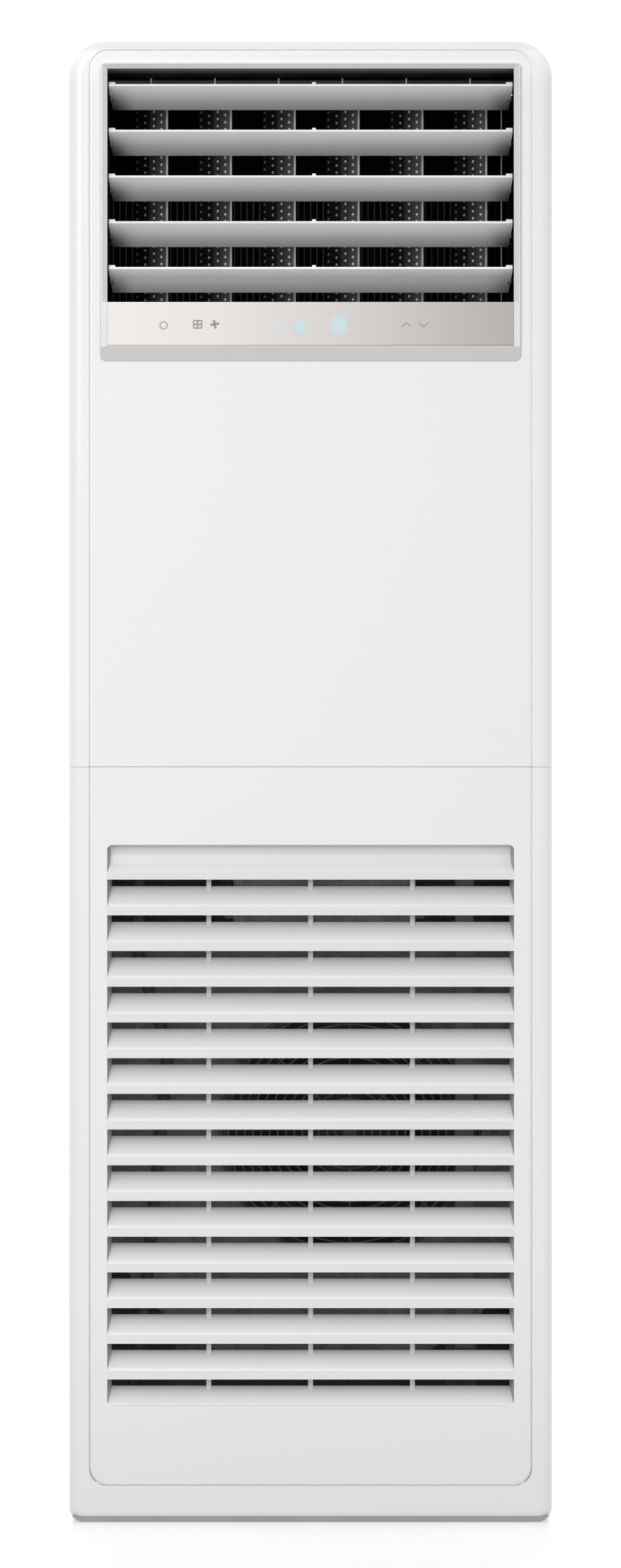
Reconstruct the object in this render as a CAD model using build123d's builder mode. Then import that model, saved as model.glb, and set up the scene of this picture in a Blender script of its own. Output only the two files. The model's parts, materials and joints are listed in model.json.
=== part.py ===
from build123d import *
import os
from math import sin, cos, radians, pi, sqrt, atan2, degrees

os.makedirs("parts", exist_ok=True)

# ---------------------------------------------------------------------------
# Floor standing air conditioner.  Millimetres, +Z up, front faces -Y,
# origin on the floor under the middle of the cabinet.
# ---------------------------------------------------------------------------
W_HALF = 301.0        # half width of the cabinet
H_TOP = 1847.0        # overall height
Y_FRONT = -190.0      # foremost face (outlet bezel)
Y_BACK = 190.0        # rear face
R_TOP = 45.0          # outer corner radius, top
R_BOT = 19.0          # outer corner radius, bottom
PLINTH_H = 7.7        # dark strip at the floor
SEAM_Z = 942.0        # joint between upper and lower front
SEAM_GAP = 0.35

FRAME_Y = -188.0      # crest of the outer strip
FRAME_BACK = -148.0   # back of the outer strip
FRAME_IN_X = 276.15   # inner edge of the outer strip
FRAME_IN_TOP = 1836.2
FRAME_IN_BOT = 44.9
FRAME_WALL = 3.0

PANEL_Y = -186.0      # front face of both inner panels
PANEL_X = 275.8       # 0.35 mm seam to the strip
PANEL_TOP = 1835.85
PANEL_BOT = 45.25
PANEL_WALL = 3.0
PANEL_BACK = -166.0

# outlet
OPEN_X = 253.4
OPEN_BOT = 1521.8
OPEN_TOP = 1813.3
BEZEL_X = 262.0
BEZEL_BOT = 1448.0
BEZEL_TOP = 1821.0
BAR_BOT = 1467.2

# intake
GR_X = 254.0          # half width of the recess
CHEEK = 6.0           # how far the drafted side walls close in at the back
GR_TOP = 844.5
SLOT_N = 15
SLOT_PITCH = 44.54
SLOT_H = 8.4
SLOT_TOP0 = 801.4     # top edge of the first slot
GR_DEEP = -169.0      # deep edge of every slat


def slab(x0, x1, y0, y1, z0, z1, mode=Mode.ADD):
    with Locations(((x0 + x1) / 2, (y0 + y1) / 2, (z0 + z1) / 2)):
        Box(x1 - x0, y1 - y0, z1 - z0, mode=mode)


def at_y(y):
    return Plane.XZ.offset(-y)


def at_x(x):
    return Plane.YZ.offset(x)


def at_z(z):
    return Plane.XY.offset(z)


def save(builder, name):
    builder.part.label = name
    export_step(builder.part, "parts/" + name + ".step")
    return builder.part


# ---------------------------------------------------------------------------
# Plinth: dark strip under the cabinet, ends follow the bottom corner radius
# ---------------------------------------------------------------------------
ANCHOR_X = 240.0
ANCHOR_Y = 130.0
with BuildPart() as base_plinth:
    with BuildSketch(at_y(186)) as s:
        with Locations((0, 100)):
            RectangleRounded(2 * W_HALF, 200, R_BOT)
    extrude(amount=186 + 186)
    slab(-400, 400, -300, 300, PLINTH_H, 300, Mode.SUBTRACT)
    slab(-225, 225, -155, 155, -1, PLINTH_H + 1, Mode.SUBTRACT)
    with Locations(*[Pos(x, y, 0) for x in (-ANCHOR_X, ANCHOR_X) for y in (-ANCHOR_Y, ANCHOR_Y)]):
        Cylinder(5.5, 40, mode=Mode.SUBTRACT)
    front = base_plinth.edges().filter_by(Axis.Z).group_by(Axis.Y)[0]
save(base_plinth, "base_plinth")

# Base pan: galvanised tray standing on the plinth
with BuildPart() as base_pan:
    slab(-274, 274, -144, 184, PLINTH_H, PLINTH_H + 1.5)
    slab(-274, 274, -144, -142.5, PLINTH_H, 40)
    slab(-274, 274, 182.5, 184, PLINTH_H, 40)
    slab(-274, -272.5, -144, 184, PLINTH_H, 40)
    slab(272.5, 274, -144, 184, PLINTH_H, 40)
    with Locations(*[Pos(x, y, PLINTH_H) for x in (-ANCHOR_X, ANCHOR_X) for y in (-ANCHOR_Y, ANCHOR_Y)]):
        Cylinder(5.5, 20, mode=Mode.SUBTRACT)
    # stiffening swages
    for y in (-70, 0, 110):
        slab(-200, 200, y - 8, y + 8, PLINTH_H + 1.5, PLINTH_H + 5.5)
        slab(-198.5, 198.5, y - 6.5, y + 6.5, PLINTH_H - 1, PLINTH_H + 4, Mode.SUBTRACT)
    # rolled corners that carry the line of the side panels down to the plinth
    with BuildSketch(at_y(186.8)):
        with Locations((0, 101)):
            RectangleRounded(2 * 300, 200, 18)
        with Locations((0, 101)):
            RectangleRounded(2 * 298.8, 200 - 2.4, 16.8, mode=Mode.SUBTRACT)
        with Locations((0, 226)):
            Rectangle(700, 400.4, mode=Mode.SUBTRACT)
        with Locations((0, 0)):
            Rectangle(700, 2 * PLINTH_H, mode=Mode.SUBTRACT)
    extrude(amount=186.8 - FRAME_BACK - 0.2)
    for sx in (-1, 1):
        slab(*sorted((sx * 273, sx * 295.8)), -144, 184, PLINTH_H, PLINTH_H + 1.2)
save(base_pan, "base_pan")

# ---------------------------------------------------------------------------
# Outer strips: rounded channel mouldings open at the back
# ---------------------------------------------------------------------------
def edge_front(edges, y):
    return [e for e in edges if abs(e.center().Y - y) < 0.05
            and abs(e.bounding_box().size.Y) < 0.05]


UF_BOT = SEAM_Z + SEAM_GAP / 2
LF_TOP = SEAM_Z - SEAM_GAP / 2

with BuildPart() as upper_frame:
    with BuildSketch(at_y(FRAME_BACK)):
        with Locations((0, H_TOP - 600)):
            RectangleRounded(2 * W_HALF, 1200, R_TOP)
    extrude(amount=FRAME_BACK - FRAME_Y)
    fillet(edge_front(upper_frame.edges(), FRAME_Y), 15)
    with BuildSketch(at_y(FRAME_BACK)):
        with Locations((0, FRAME_IN_TOP - 600)):
            RectangleRounded(2 * FRAME_IN_X, 1200, 24.35)
    extrude(amount=60, mode=Mode.SUBTRACT)
    slab(-400, 400, -300, 0, 0, UF_BOT, Mode.SUBTRACT)
    inner = [e for e in edge_front(upper_frame.edges(), FRAME_Y)
             if abs(e.center().X) < FRAME_IN_X + 0.3 and e.center().Z > UF_BOT + 1
             and e.center().Z < FRAME_IN_TOP + 0.3]
    fillet(inner, 1.2)
with BuildPart() as uf_void:
    with BuildSketch(at_y(FRAME_BACK)):
        with Locations((0, H_TOP - FRAME_WALL - 600)):
            RectangleRounded(2 * (W_HALF - FRAME_WALL), 1200, R_TOP - FRAME_WALL)
    extrude(amount=FRAME_BACK - FRAME_Y - FRAME_WALL)
    fillet(edge_front(uf_void.edges(), FRAME_Y + FRAME_WALL), 12)
    with BuildSketch(at_y(FRAME_BACK)):
        with Locations((0, FRAME_IN_TOP + FRAME_WALL - 600)):
            RectangleRounded(2 * (FRAME_IN_X + FRAME_WALL), 1200, 27.35)
    extrude(amount=60, mode=Mode.SUBTRACT)
    slab(-400, 400, -300, 0, 0, UF_BOT + FRAME_WALL, Mode.SUBTRACT)
with BuildPart() as upper_frame_h:
    add(upper_frame.part)
    add(uf_void.part, mode=Mode.SUBTRACT)
save(upper_frame_h, "upper_frame")

with BuildPart() as lower_frame:
    with BuildSketch(at_y(FRAME_BACK)):
        with Locations((0, 600)):
            RectangleRounded(2 * W_HALF, 1200, R_BOT)
    extrude(amount=FRAME_BACK - FRAME_Y)
    fillet(edge_front(lower_frame.edges(), FRAME_Y), 15)
    with BuildSketch(at_y(FRAME_BACK)):
        with Locations((0, FRAME_IN_BOT + 600)):
            RectangleRounded(2 * FRAME_IN_X, 1200, 22.35)
    extrude(amount=60, mode=Mode.SUBTRACT)
    slab(-400, 400, -300, 0, LF_TOP, 2000, Mode.SUBTRACT)
    slab(-400, 400, -300, 0, -10, PLINTH_H, Mode.SUBTRACT)
    inner = [e for e in edge_front(lower_frame.edges(), FRAME_Y)
             if abs(e.center().X) < FRAME_IN_X + 0.3 and e.center().Z < LF_TOP - 1
             and e.center().Z > FRAME_IN_BOT - 0.3]
    fillet(inner, 1.2)
with BuildPart() as lf_void:
    with BuildSketch(at_y(FRAME_BACK)):
        with Locations((0, FRAME_WALL + 600)):
            RectangleRounded(2 * (W_HALF - FRAME_WALL), 1200, R_BOT - FRAME_WALL)
    extrude(amount=FRAME_BACK - FRAME_Y - FRAME_WALL)
    fillet(edge_front(lf_void.edges(), FRAME_Y + FRAME_WALL), 12)
    with BuildSketch(at_y(FRAME_BACK)):
        with Locations((0, FRAME_IN_BOT - FRAME_WALL + 600)):
            RectangleRounded(2 * (FRAME_IN_X + FRAME_WALL), 1200, 25.35)
    extrude(amount=60, mode=Mode.SUBTRACT)
    slab(-400, 400, -300, 0, LF_TOP - FRAME_WALL, 2000, Mode.SUBTRACT)
    slab(-400, 400, -300, 0, -10, PLINTH_H + FRAME_WALL, Mode.SUBTRACT)
HINGE_Y = -182.5      # intake cover pivot, close behind the lower front edge
HINGE_Z = 48.5
HINGE_R = 2.0
with BuildPart() as lower_frame_h:
    add(lower_frame.part)
    add(lf_void.part, mode=Mode.SUBTRACT)
    # hinge bosses behind the inner side walls, with blind bores
    for sx in (-1, 1):
        with BuildSketch(at_x(sx * 271.0)):
            with Locations((HINGE_Y, HINGE_Z)):
                Circle(4.4)
        extrude(amount=15 * sx)
        with BuildSketch(at_x(sx * 262.0)):
            with Locations((HINGE_Y, HINGE_Z)):
                Circle(HINGE_R + 0.06)
        extrude(amount=22 * sx, mode=Mode.SUBTRACT)
save(lower_frame_h, "lower_frame")

# ---------------------------------------------------------------------------
# Upper front panel with the cut-out for the outlet bezel
# ---------------------------------------------------------------------------
with BuildPart() as upper_panel:
    with BuildSketch(at_y(PANEL_BACK)):
        with Locations((0, PANEL_TOP - 600)):
            RectangleRounded(2 * PANEL_X, 1200, 24)
    extrude(amount=PANEL_BACK - PANEL_Y)
    slab(-400, 400, -300, 0, 0, UF_BOT, Mode.SUBTRACT)
    fillet([e for e in edge_front(upper_panel.edges(), PANEL_Y) if e.center().Z > UF_BOT + 1], 2.6)
    fillet([e for e in edge_front(upper_panel.edges(), PANEL_Y) if e.center().Z < UF_BOT + 1], 1)
    # hollow from behind
    with BuildSketch(at_y(PANEL_BACK)):
        with Locations((0, PANEL_TOP - PANEL_WALL - 600)):
            RectangleRounded(2 * (PANEL_X - PANEL_WALL), 1200, 21)
        with Locations((0, 0)):
            Rectangle(800, 2 * (UF_BOT + PANEL_WALL), mode=Mode.SUBTRACT)
    extrude(amount=PANEL_BACK - PANEL_Y - PANEL_WALL - 5, mode=Mode.SUBTRACT)
    with BuildSketch(at_y(PANEL_BACK)):
        with Locations((0, PANEL_TOP - 8 - 600)):
            RectangleRounded(2 * (PANEL_X - 8), 1200, 16)
        with Locations((0, 0)):
            Rectangle(800, 2 * (UF_BOT + 8), mode=Mode.SUBTRACT)
    extrude(amount=PANEL_BACK - PANEL_Y - PANEL_WALL, mode=Mode.SUBTRACT)
    # cut-out for the bezel
    with BuildSketch(at_y(PANEL_BACK)):
        with Locations((0, (BEZEL_BOT + BEZEL_TOP) / 2)):
            RectangleRounded(2 * BEZEL_X, BEZEL_TOP - BEZEL_BOT, 7.5)
    extrude(amount=40, mode=Mode.SUBTRACT)
    # stiffening ribs across the back of the plain area
    for z in (1080, 1210, 1340):
        slab(-PANEL_X + 4, PANEL_X - 4, PANEL_Y + 2.5, PANEL_Y + 10, z - 1, z + 1)
save(upper_panel, "upper_panel")

# Outlet bezel: raised ring with an inward bevel round the opening and a bevel
# falling back to the panel under the control bar
with BuildPart() as outlet_bezel:
    with BuildSketch(at_y(PANEL_BACK)):
        with Locations((0, (BEZEL_BOT + BEZEL_TOP) / 2)):
            RectangleRounded(2 * BEZEL_X - 0.4, BEZEL_TOP - BEZEL_BOT - 0.4, 7.3)
    extrude(amount=PANEL_BACK - Y_FRONT)
    fillet([e for e in edge_front(outlet_bezel.edges(), Y_FRONT)
            if e.center().Z > BEZEL_BOT + 5], 1.2)
    # opening, bevelled at sides and top
    with BuildSketch(at_y(-184)):
        with Locations((0, (OPEN_BOT + OPEN_TOP) / 2)):
            Rectangle(2 * OPEN_X, OPEN_TOP - OPEN_BOT)
    with BuildSketch(at_y(-191)):
        with Locations((0, (OPEN_BOT + OPEN_TOP + 6.6) / 2)):
            Rectangle(2 * OPEN_X + 15, OPEN_TOP - OPEN_BOT + 6.6)
    loft(mode=Mode.SUBTRACT)
    slab(-OPEN_X, OPEN_X, -192, -160, OPEN_BOT, OPEN_TOP, Mode.SUBTRACT)
    # recess for the control bar, open at the back
    slab(-OPEN_X, OPEN_X, -192, -187, BAR_BOT, OPEN_BOT + 0.1, Mode.SUBTRACT)
    slab(-OPEN_X + 4, OPEN_X - 4, -192, -160, BAR_BOT + 4, OPEN_BOT - 5.5, Mode.SUBTRACT)
    slab(-OPEN_X, OPEN_X, -187.1, -181.4, OPEN_BOT - 2.7, OPEN_BOT + 0.1, Mode.SUBTRACT)
    # lower bevel
    with BuildSketch(at_x(-300)):
        Polygon((-191, BAR_BOT - 1.5), (-190, BAR_BOT - 1.5), (-186.6, BEZEL_BOT),
                (-186.6, BEZEL_BOT - 2), (-192, BEZEL_BOT - 2), align=None)
    extrude(amount=600, mode=Mode.SUBTRACT)
    # rebate for the front edge of the duct
    slab(-257, 257, -183.2, -160, 1508.5, 1816.8, Mode.SUBTRACT)
    # void behind the bevel
    slab(-OPEN_X, OPEN_X, -183, -160, BEZEL_BOT + 3, BAR_BOT - 3, Mode.SUBTRACT)
save(outlet_bezel, "outlet_bezel")

# Control bar: one smooth fascia with printed touch symbols
with BuildPart() as control_fascia:
    slab(-OPEN_X + 0.2, OPEN_X - 0.2, -189.6, -187.1, BAR_BOT + 0.2, OPEN_BOT)
    slab(-OPEN_X + 0.2, OPEN_X - 0.2, -187.1, -181.5, OPEN_BOT - 2.6, OPEN_BOT)
    fillet(control_fascia.edges().filter_by(Axis.X).group_by(Axis.Y)[0], 1.2)
save(control_fascia, "control_fascia")

# Control board with its touch pads and the display module behind the fascia
with BuildPart() as control_board:
    slab(-215, 215, -178.4, -176.8, 1472, 1507.5)
    for x in (-183.6, -140.5, -119.5, 119.4, 140.7):
        with Locations((x, -178.9, 1492)):
            Cylinder(6, 1.0, rotation=(90, 0, 0))
    for x in (-160, -60, 95, 170):
        slab(x - 7, x + 7, -176.8, -172, 1484, 1500)
    with Locations(*[Pos(x, -177.6, z) for x in (-208, 208) for z in (1477, 1502)]):
        Cylinder(1.7, 10, rotation=(90, 0, 0), mode=Mode.SUBTRACT)
    # display block behind the middle of the fascia
    slab(-45, 50, -187, -178.4, 1480, 1504)
save(control_board, "control_board")
# carrier that holds the board on the back of the bezel
with BuildPart() as board_carrier:
    slab(-230, 230, -166, -164, 1468, 1508)
    slab(-230, -228, -178, -166, 1472, 1507)
    slab(228, 230, -178, -166, 1472, 1507)
    for x in (-208, 208):
        for z in (1477, 1502):
            slab(x - 3.5, x + 3.5, -176.8, -166, z - 3.5, z + 3.5)
    slab(-30, 30, -167, -163, 1484, 1500, Mode.SUBTRACT)
save(board_carrier, "board_carrier")

# ---------------------------------------------------------------------------
# Lower front: intake cover = panel + slatted grille, tilts on two pins
# ---------------------------------------------------------------------------
GR_BOT = SLOT_TOP0 - (SLOT_N - 1) * SLOT_PITCH - SLOT_H - 24.0
with BuildPart() as intake_panel:
    with BuildSketch(at_y(PANEL_BACK)):
        with Locations((0, PANEL_BOT + 600)):
            RectangleRounded(2 * PANEL_X, 1200, 24.5)
    extrude(amount=PANEL_BACK - PANEL_Y)
    slab(-400, 400, -300, 0, LF_TOP, 2000, Mode.SUBTRACT)
    fillet([e for e in edge_front(intake_panel.edges(), PANEL_Y) if e.center().Z < LF_TOP - 1], 3.5)
    fillet([e for e in edge_front(intake_panel.edges(), PANEL_Y) if e.center().Z > LF_TOP - 1], 1)
    with BuildSketch(at_y(PANEL_BACK)):
        with Locations((0, PANEL_BOT + PANEL_WALL + 600)):
            RectangleRounded(2 * (PANEL_X - PANEL_WALL), 1200, 21.5)
        with Locations((0, LF_TOP - PANEL_WALL + 600)):
            Rectangle(800, 1200, mode=Mode.SUBTRACT)
    extrude(amount=PANEL_BACK - PANEL_Y - PANEL_WALL - 4, mode=Mode.SUBTRACT)
    with BuildSketch(at_y(PANEL_BACK)):
        with Locations((0, PANEL_BOT + 7 + 600)):
            RectangleRounded(2 * (PANEL_X - 7), 1200, 17.5)
        with Locations((0, LF_TOP - 7 + 600)):
            Rectangle(800, 1200, mode=Mode.SUBTRACT)
    extrude(amount=PANEL_BACK - PANEL_Y - PANEL_WALL, mode=Mode.SUBTRACT)
    # wall round the grille opening, then the opening itself
    with BuildSketch(at_y(PANEL_BACK)):
        with Locations((0, (GR_BOT + GR_TOP) / 2)):
            RectangleRounded(2 * GR_X + 6, GR_TOP - GR_BOT + 6, 10)
    extrude(amount=PANEL_BACK - PANEL_Y - 2)
    with BuildSketch(at_y(PANEL_BACK)):
        with Locations((0, (GR_BOT + GR_TOP) / 2)):
            RectangleRounded(2 * GR_X, GR_TOP - GR_BOT, 7)
    extrude(amount=60, mode=Mode.SUBTRACT)
    # hinge pins with their bosses
    for sx in (-1, 1):
        with BuildSketch(at_x(sx * 256)):
            with Locations((HINGE_Y, HINGE_Z)):
                Circle(HINGE_R)
        extrude(amount=27 * sx)
    # friction tongues at the top edge
    for x in (-180, 180):
        slab(x - 10, x + 10, PANEL_BACK - 1, -140, 925, 929)
        slab(x - 10, x + 10, PANEL_Y + 2, PANEL_BACK, 925, 938)
    # channels on the back for the air filter
    for sx in (-1, 1):
        slab(*sorted((sx * 262.5, sx * 267.5)), PANEL_BACK - 1, -152, 150, 830)
        slab(*sorted((sx * 256.5, sx * 262.5)), PANEL_BACK - 1, -164.3, 150, 830)
        slab(*sorted((sx * 256.5, sx * 262.5)), -153.7, -152, 150, 830)
        for z in (150, 323, 500, 677, 826):
            slab(*sorted((sx * 257, sx * 267)), PANEL_Y + 2, PANEL_BACK, z, z + 4)
    slab(-267.5, 267.5, PANEL_BACK - 3, -152, 142, 144.9)
    slab(-267.5, 267.5, PANEL_BACK, -164.3, 142, 150)
save(intake_panel, "intake_panel")

# Grille: folded slats between the drafted side walls, tied by three ribs
with BuildPart() as intake_grille:
    prof = []
    # upper shelf: drafted top wall, flat face, rounded nose, lip over slot 1
    z0 = GR_TOP
    zs = SLOT_TOP0
    with BuildSketch(at_x(-GR_X)):
        Polygon((-186, z0 - 0.2), (-181.5, z0 - 0.9), (-177.6, z0 - 2.6), (-174.6, z0 - 5.4),
                (-172.9, z0 - 8.6), (-172.4, z0 - 11.5), (-175.5, zs + 20), (-186, zs + 9), (-186, zs),
                (-183.4, zs), (-183.4, zs + 7.4), (-172.8, zs + 18.5), (-169, z0 - 10),
                (-169, z0 - 0.2), align=None)
    extrude(amount=2 * GR_X)
    for i in range(SLOT_N):
        zt = SLOT_TOP0 - i * SLOT_PITCH - SLOT_H      # deep top edge of this slat
        zb = SLOT_TOP0 - (i + 1) * SLOT_PITCH         # lower edge of its lip
        if i < SLOT_N - 1:
            pts = [(GR_DEEP, zt), (-184.2, zt - 21.4), (-186, zt - 25.4), (-186, zb), (-183.4, zb),
                   (-183.4, zt - 25.0), (-182.2, zt - 22.6), (GR_DEEP, zt - 3.6)]
        else:
            pts = [(GR_DEEP, zt), (-186, zt - 23.8), (-169, zt - 23.8), (-169, zt - 18)]
        with BuildSketch(at_x(-GR_X)):
            Polygon(*pts, align=None)
        extrude(amount=2 * GR_X)
    # side cheeks, drafted
    for sx in (-1, 1):
        with BuildSketch(at_z(GR_BOT + 0.2)):
            Polygon((sx * GR_X, -186), (sx * (GR_X - 0.4), -186), (sx * (GR_X - CHEEK), GR_DEEP),
                    (sx * (GR_X - CHEEK), PANEL_BACK), (sx * GR_X, PANEL_BACK), align=None)
        extrude(amount=GR_TOP - GR_BOT - 0.4)
    # ribs behind the slats
    for x in (-127.0, 0.0, 127.0):
        slab(x - 3, x + 3, -172.5, PANEL_BACK, GR_BOT + 0.2, GR_TOP - 0.2)
    # keep inside the rounded opening
    with BuildSketch(at_y(-150)):
        with Locations((0, (GR_BOT + GR_TOP) / 2)):
            RectangleRounded(2 * GR_X, GR_TOP - GR_BOT, 7)
    extrude(amount=60, mode=Mode.INTERSECT)
save(intake_grille, "intake_grille")

# Air filter: slides up out of the channels on the back of the cover
FILT_X = 262.0
with BuildPart() as filter_frame:
    slab(-FILT_X, FILT_X, -163.7, -154.3, 145.5, 870)
    slab(-FILT_X + 7, FILT_X - 7, -170, -150, 153, 862, Mode.SUBTRACT)
    for x in (-127.0, 0.0, 127.0):
        slab(x - 2, x + 2, -163.7, -160, 150, 865)
    for z in (323, 500, 677):
        slab(-FILT_X + 5, FILT_X - 5, -163.7, -160, z - 1, z + 1)
    # pull tabs
    for x in (-127.0, 127.0):
        slab(x - 22, x + 22, -163.7, -160.2, 868, 890)
save(filter_frame, "filter_frame")
with BuildPart() as filter_net:
    slab(-FILT_X + 7, FILT_X - 7, -159.2, -158.8, 153, 862)
    slab(-FILT_X + 8, FILT_X - 8, -160, -159.2, 153, 154)
save(filter_net, "filter_net")

# ---------------------------------------------------------------------------
# Cabinet sheet metal
# ---------------------------------------------------------------------------
SIDE_TOP = 1800.0
for sx, name in ((-1, "side_panel_left"), (1, "side_panel_right")):
    with BuildPart() as side_panel:
        slab(*sorted((sx * 300, sx * 298.8)), FRAME_BACK + 0.2, 186.8, 26, SIDE_TOP)
        slab(*sorted((sx * 298.8, sx * 286)), FRAME_BACK + 0.2, FRAME_BACK + 1.4, 26, SIDE_TOP - 4)
        slab(*sorted((sx * 298.8, sx * 280)), 185.6, 186.8, 26, SIDE_TOP - 4)
        slab(*sorted((sx * 298.8, sx * 276)), FRAME_BACK + 1.4, 185.6, 26, 27.2)
        with Locations(*[Pos(sx * 288, 186, z) for z in (60, 340, 620, 880, 920, 1200, 1480, 1760)]):
            Cylinder(1.85, 10, rotation=(90, 0, 0), mode=Mode.SUBTRACT)
        if sx > 0:
            # knock-out for pipes leaving sideways
            with Locations((299.4, 120, 160)):
                Cylinder(34, 10, rotation=(0, 90, 0), mode=Mode.SUBTRACT)
            with Locations((299.4, 120, 160)):
                Cylinder(33.2, 1.2, rotation=(0, 90, 0))
            for a in (0, 90, 180, 270):
                with Locations((299.4, 120 + 33.6 * cos(radians(a)), 160 + 33.6 * sin(radians(a)))):
                    Box(1.2, 2.4, 2.4)
    save(side_panel, name)

with BuildPart() as top_cover:
    with BuildSketch(at_y(Y_BACK)):
        with Locations((0, H_TOP - 1 - 100)):
            RectangleRounded(2 * 300, 200, 44)
        with Locations((0, 1600)):
            Rectangle(800, 2 * (SIDE_TOP - 1600) + 0.4, mode=Mode.SUBTRACT)
    extrude(amount=Y_BACK - FRAME_BACK - 0.2)
    fillet([e for e in top_cover.edges() if abs(e.center().Y - Y_BACK) < 0.01
            and e.center().Z > SIDE_TOP + 1], 4)
    with BuildSketch(at_y(Y_BACK - 2)):
        with Locations((0, H_TOP - 1 - 2.5 - 100)):
            RectangleRounded(2 * 297.5, 200, 41.5)
        with Locations((0, 1600)):
            Rectangle(800, 2 * (SIDE_TOP - 1600) - 20, mode=Mode.SUBTRACT)
    extrude(amount=Y_BACK - FRAME_BACK + 30, mode=Mode.SUBTRACT)
    # tongue that locates inside the side panels
    for sx in (-1, 1):
        slab(*sorted((sx * 297.5, sx * 295.5)), FRAME_BACK + 4, 182, SIDE_TOP - 8, SIDE_TOP + 12)
save(top_cover, "top_cover")

REAR_Y = 187.0        # inner face of the rear panels
REAR_T = 1.2
with BuildPart() as rear_panel_lower:
    slab(-298, 298, REAR_Y, REAR_Y + REAR_T, 30, 899.5)
    slab(-276, 276, 180, REAR_Y, 898.3, 899.5)
    # outlet for pipes, drain and cable, lower right seen from behind
    for x, z, r in ((-200, 106, 37.5), (-120, 110, 15.0), (-60, 110, 12.0)):
        with Locations((x, 189, z)):
            Cylinder(r, 10, rotation=(90, 0, 0), mode=Mode.SUBTRACT)
    # pressed stiffeners
    for x in (-150, 0, 150):
        slab(x - 12, x + 12, REAR_Y - 2, REAR_Y, 300, 840)
        slab(x - 10.8, x + 10.8, REAR_Y - 0.8, 191, 301.2, 838.8, Mode.SUBTRACT)
    for x in (-288, 288):
        for z in (60, 340, 620, 880):
            with Locations((x, 189, z)):
                Cylinder(2.3, 10, rotation=(90, 0, 0), mode=Mode.SUBTRACT)
save(rear_panel_lower, "rear_panel_lower")
with BuildPart() as rear_panel_upper:
    slab(-298, 298, REAR_Y, REAR_Y + REAR_T, 900.5, 1797.5)
    for x in (-150, 0, 150):
        slab(x - 12, x + 12, REAR_Y - 2, REAR_Y, 960, 1700)
        slab(x - 10.8, x + 10.8, REAR_Y - 0.8, 191, 961.2, 1698.8, Mode.SUBTRACT)
    for x in (-288, 288):
        for z in (920, 1200, 1480, 1760):
            with Locations((x, 189, z)):
                Cylinder(2.3, 10, rotation=(90, 0, 0), mode=Mode.SUBTRACT)
    for x in (-200, 200):
        with Locations((x, 189, 1765)):
            Cylinder(2.6, 10, rotation=(90, 0, 0), mode=Mode.SUBTRACT)
save(rear_panel_upper, "rear_panel_upper")

# Cross rail behind the seam
with BuildPart() as mid_rail:
    slab(-286, 286, -147.8, -146.3, 915, 968)
    slab(-286, 286, -146.3, -120, 915, 916.5)
    slab(-286, 286, -146.3, -120, 966.5, 968)
    for sx in (-1, 1):
        slab(*sorted((sx * 286, sx * 298.6)), -146.2, -144.8, 915, 968)
        slab(*sorted((sx * 284.5, sx * 286)), -146.2, -120, 915, 968)
    for x in (-180, 180):
        slab(x - 12, x + 12, -149, -140, 922.4, 931.6, Mode.SUBTRACT)
    # drain hose passes the flanges
    slab(-228, -202, -145, -119, 910, 970, Mode.SUBTRACT)
    # friction catches for the tongues of the intake cover
    for x in (-180, 180):
        slab(x - 14, x + 14, -146.1, -136, 919, 935)
        slab(x - 10.4, x + 10.4, -160, -138, 924.6, 930.4, Mode.SUBTRACT)
save(mid_rail, "mid_rail")

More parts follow.
